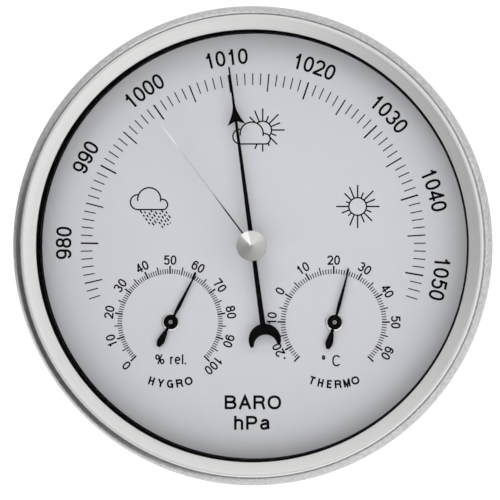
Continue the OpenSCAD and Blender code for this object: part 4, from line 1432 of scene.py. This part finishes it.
@dataclass
class Knob:
    """The turned setting knob in front of the glass: a low cone with a centre mark, on its flanged bush."""

    knob: Extent = measured("set_knob")
    bush: Extent = measured("glass_bush")
    rim: float = 0.9
    round_r: float = 0.35
    round_to: float = 60.0
    foot_round: float = 0.3
    bulge: float = 0.10
    flat_r: float = 0.75
    bore: float = 1.25
    neck: float = 2.35

    def build(self) -> None:
        """Makes the knob and the bush."""
        r, z0, top = self.knob.radius, self.knob.back, self.knob.front
        rim, s = z0 + self.rim, self.round_r
        x0 = r - s + s * math.cos(math.radians(self.round_to))
        y0 = rim - s + s * math.sin(math.radians(self.round_to))
        x1, y1 = self.flat_r, top - 0.12
        t = np.linspace(0, 1, 18)[1:]
        bulge = self.bulge * np.sin(math.pi * t)
        profile = (
            [(0.0, z0), (r - self.foot_round, z0)]
            + arc((r - self.foot_round, z0 + self.foot_round), self.foot_round, -90, 0, 5)
            + arc((r - s, rim - s), s, 0, self.round_to, 6)
            + list(zip(x0 + (x1 - x0) * t, y0 + (y1 - y0) * t + bulge))
            + [(0.5, top - 0.02), (0.42, top), (0.34, top - 0.04), (0.12, top - 0.32), (0.0, top - 0.34)]
        )
        mesh_piece("setting_knob", revolved(profile, sides=128), Stock.knob, "set_marker",
                   stands_for=["set_knob"], crease=35)
        b = self.bush
        flange_r, bore, neck = b.radius, self.bore, self.neck
        sit = extent("glass").front
        profile = [
            (bore, b.back), (neck, b.back), (neck, sit), (flange_r, sit), (flange_r, b.front - 0.2),
            (flange_r - 0.2, b.front), (bore, b.front),
        ]
        mesh_piece("window_bush", revolved(profile, sides=96), Stock.bush,
                   stands_for=["glass_bush"])


@dataclass
class Eyelet:
    """The bright eyelet in the dial that a small hand's pivot comes up through."""

    node: str
    flange_r: float = 2.65
    bore: float = 0.62
    tube: float = 1.22
    roll: float = 0.18

    def build(self) -> None:
        """Makes the eyelet: a rolled flange on a short tube."""
        e = extent(self.node)
        cx, cy = e.centre
        face = extent("dial_plate").front
        r, top, bore, tube = self.flange_r, e.front, self.bore, self.tube
        profile = (
            [(bore, e.back), (tube, e.back), (tube, face), (r, face)]
            + arc((r - self.roll, top - self.roll), self.roll, 0, 90, 5)
            + [(1.2, top), (0.95, top - 0.1), (bore, top - 0.14)]
        )
        mesh_piece(f"{self.node}_eyelet", revolved(profile, (cx, cy), SMALL_ROUND), Stock.eyelet,
                   stands_for=[self.node])


# ---- stage ----


@dataclass
class Studio:
    """Pale floor, white surroundings, soft lights and the camera."""

    camera_away: float = 550.0
    camera_right: float = 18.0
    lens_mm: float = 145.3
    shift: Pair = (-0.0026, -0.0083)
    bright_side: Place = (0.55, -0.25, 0.80)
    backdrop: float = 1.05
    floor_drop: float = 300.0
    floor_half: float = 3000.0
    floor_glow: float = 0.35
    flag_at: Place = (-238.0, -104.0, 180.0)
    flag_size: Pair = (400.0, 520.0)

    @staticmethod
    def aim(thing: bpy.types.Object, at: Place, target: Place) -> None:
        """Stands a lamp or camera at a place and points it at another, both in dial coordinates."""
        here, there = (Vector(to_row(np.array([place]))[0]) for place in (at, target))
        thing.location = here
        thing.rotation_euler = (there - here).to_track_quat("-Z", "Y").to_euler()

    @staticmethod
    def card(name: str, corners: Array, paint: Recipe) -> bpy.types.Object:
        """Makes a flat card from its four corners in dial coordinates."""
        mesh = bpy.data.meshes.new(name)
        mesh.from_pydata(to_row(corners).tolist(), [], [(0, 1, 2, 3)])
        mesh.materials.append(paint.made)
        return shown(bpy.data.objects.new(name, mesh))

    def lamp(self, name: str, at: Place, size: Place, watts: float) -> None:
        """Hangs one soft rectangular light that points at the dial."""
        data = bpy.data.lights.new(name, "AREA")
        data.shape = "RECTANGLE"
        data.size, data.size_y = size[0] * MM, size[1] * MM
        data.energy = watts
        self.aim(shown(bpy.data.objects.new(name, data)), at, (0, 0, 20))

    def surroundings(self) -> None:
        """White to the camera. In gloss, light falls from bright upper right to grey lower left.

        It is also dimmer round the viewer, so that the flat dial and the glass mirror something darker.
        """
        world = bpy.data.worlds.new("studio")
        bpy.context.scene.world = world
        world.use_nodes = True
        world.node_tree.nodes.clear()
        sky = Nodes(world.node_tree)
        way = sky.coords.outputs["Generated"]
        lean = sky.spread(sky.vector("DOT_PRODUCT", way, self.bright_side), 0.42, 1.08, -0.9, 0.7, True)
        viewer = sky.spread(sky.vector("DOT_PRODUCT", way, (0.0, -1.0, 0.0)), 1.0, 0.62, 0.55, 1.0, True)
        soft, white = sky.node("Background"), sky.node("Background")
        sky.feed(soft, {"Color": (1, 1, 1, 1), "Strength": sky.math("MULTIPLY", lean, viewer)})
        sky.feed(white, {"Color": (1, 1, 1, 1), "Strength": self.backdrop})
        to_camera = sky.node("LightPath").outputs["Is Camera Ray"]
        both = sky.mixed(to_camera, soft.outputs[0], white.outputs[0])
        sky.link(both, sky.node("OutputWorld").inputs["Surface"])

    def floor(self) -> None:
        """A wide pale floor under the object."""
        half, y = self.floor_half, extent("case_drum").bottom - self.floor_drop
        corners = np.array([[-half, y, -half], [-half, y, half], [half, y, half], [half, y, -half]])
        paint = Recipe("floor_paint")
        paint.shade(colour=(0.9, 0.9, 0.9, 1), roughness=0.9, glow=(1, 1, 1, 1),
                    glow_strength=self.floor_glow)
        self.card("studio_floor", corners, paint)

    def flag(self) -> None:
        """A black card at the lower left that only mirror-like faces see: it darkens the shoulder there."""
        w, h = np.asarray(self.flag_size) / 2
        centre = np.asarray(self.flag_at)
        inward = -centre / np.linalg.norm(centre)
        side = np.cross(inward, [0.0, 0.0, 1.0])
        side /= np.linalg.norm(side)
        up = np.cross(side, inward)
        corners = [centre + a * h * side + b * w * up for a, b in ((-1, -1), (1, -1), (1, 1), (-1, 1))]
        cloth = Recipe("flag_cloth")
        cloth.shade(colour=(0.09, 0.09, 0.09, 1), roughness=1.0)
        card = self.card("studio_flag", np.array(corners), cloth)
        card.visible_camera = card.visible_diffuse = card.visible_shadow = card.visible_transmission = False

    def camera(self) -> None:
        """Stands a little to the right of the axis, level with it, and looks at the dial's middle."""
        data = bpy.data.cameras.new("camera")
        data.lens = self.lens_mm
        data.shift_x, data.shift_y = self.shift
        data.clip_start, data.clip_end = 0.01, 100.0
        cam = shown(bpy.data.objects.new("camera", data))
        front = extent("bezel_ring").front
        self.aim(cam, (self.camera_right, 0.0, front + self.camera_away), (0.0, 0.0, front))
        bpy.context.scene.camera = cam

    def build(self) -> None:
        """Sets the stage."""
        bpy.context.scene.view_settings.view_transform = "Standard"
        self.surroundings()
        self.floor()
        self.flag()
        self.camera()
        self.lamp("key_light", (-150, 420, 520), (260, 160), 0.35)
        self.lamp("fill_light", (420, 120, 420), (240, 300), 0.10)


# ---- the whole instrument ----


def dress_nodes() -> None:
    """Gives every CAD node the finish of its slot in the record."""
    slots = {s["node"]: s["material_slot"] for s in frame["record"]["subparts"]}
    for name, node in frame["nodes"].items():
        made = SLOT_FINISH[slots[name]].material()
        if node.data.materials:
            for i in range(len(node.material_slots)):
                node.material_slots[i].material = made
        else:
            node.data.materials.append(made)


def main() -> None:
    """Builds the instrument and its stage."""
    logging.basicConfig(level=logging.INFO, format="%(message)s")
    dress_nodes()
    face = extent("dial_plate").front
    hygro = np.subtract(extent("hygro_bush").centre, SMALL_PRINT_SETS_OFF)
    thermo = np.subtract(extent("thermo_bush").centre, SMALL_PRINT_SETS_OFF)
    parts = [
        Studio(),
        Case(),
        Bezel(),
        Window(),
        Spacer(),
        PressureScale(face),
        SmallScale("hygro", face, hygro, 0, 100, 50, 2.7, range(0, 101, 10),
                   "% rel.", (-22.9, -31.65), 2.75, 0.14, 8.7),
        SmallScale("thermo", face, thermo, -25, 65, 20, 3.0, range(-20, 61, 10),
                   "° C", (21.9, -31.95), 3.2, 0.16, 8.1),
        WeatherSigns(face),
        PressureHand(),
        SmallHand("hygro_pointer", "hygro_hand", 27.4),
        SmallHand("thermo_pointer", "thermo_hand", 14.8),
        SetHand(),
        Knob(),
        Eyelet("hygro_bush"),
        Eyelet("thermo_bush"),
    ]
    for part in parts:
        part.build()


if __name__ == "__main__":
    main()
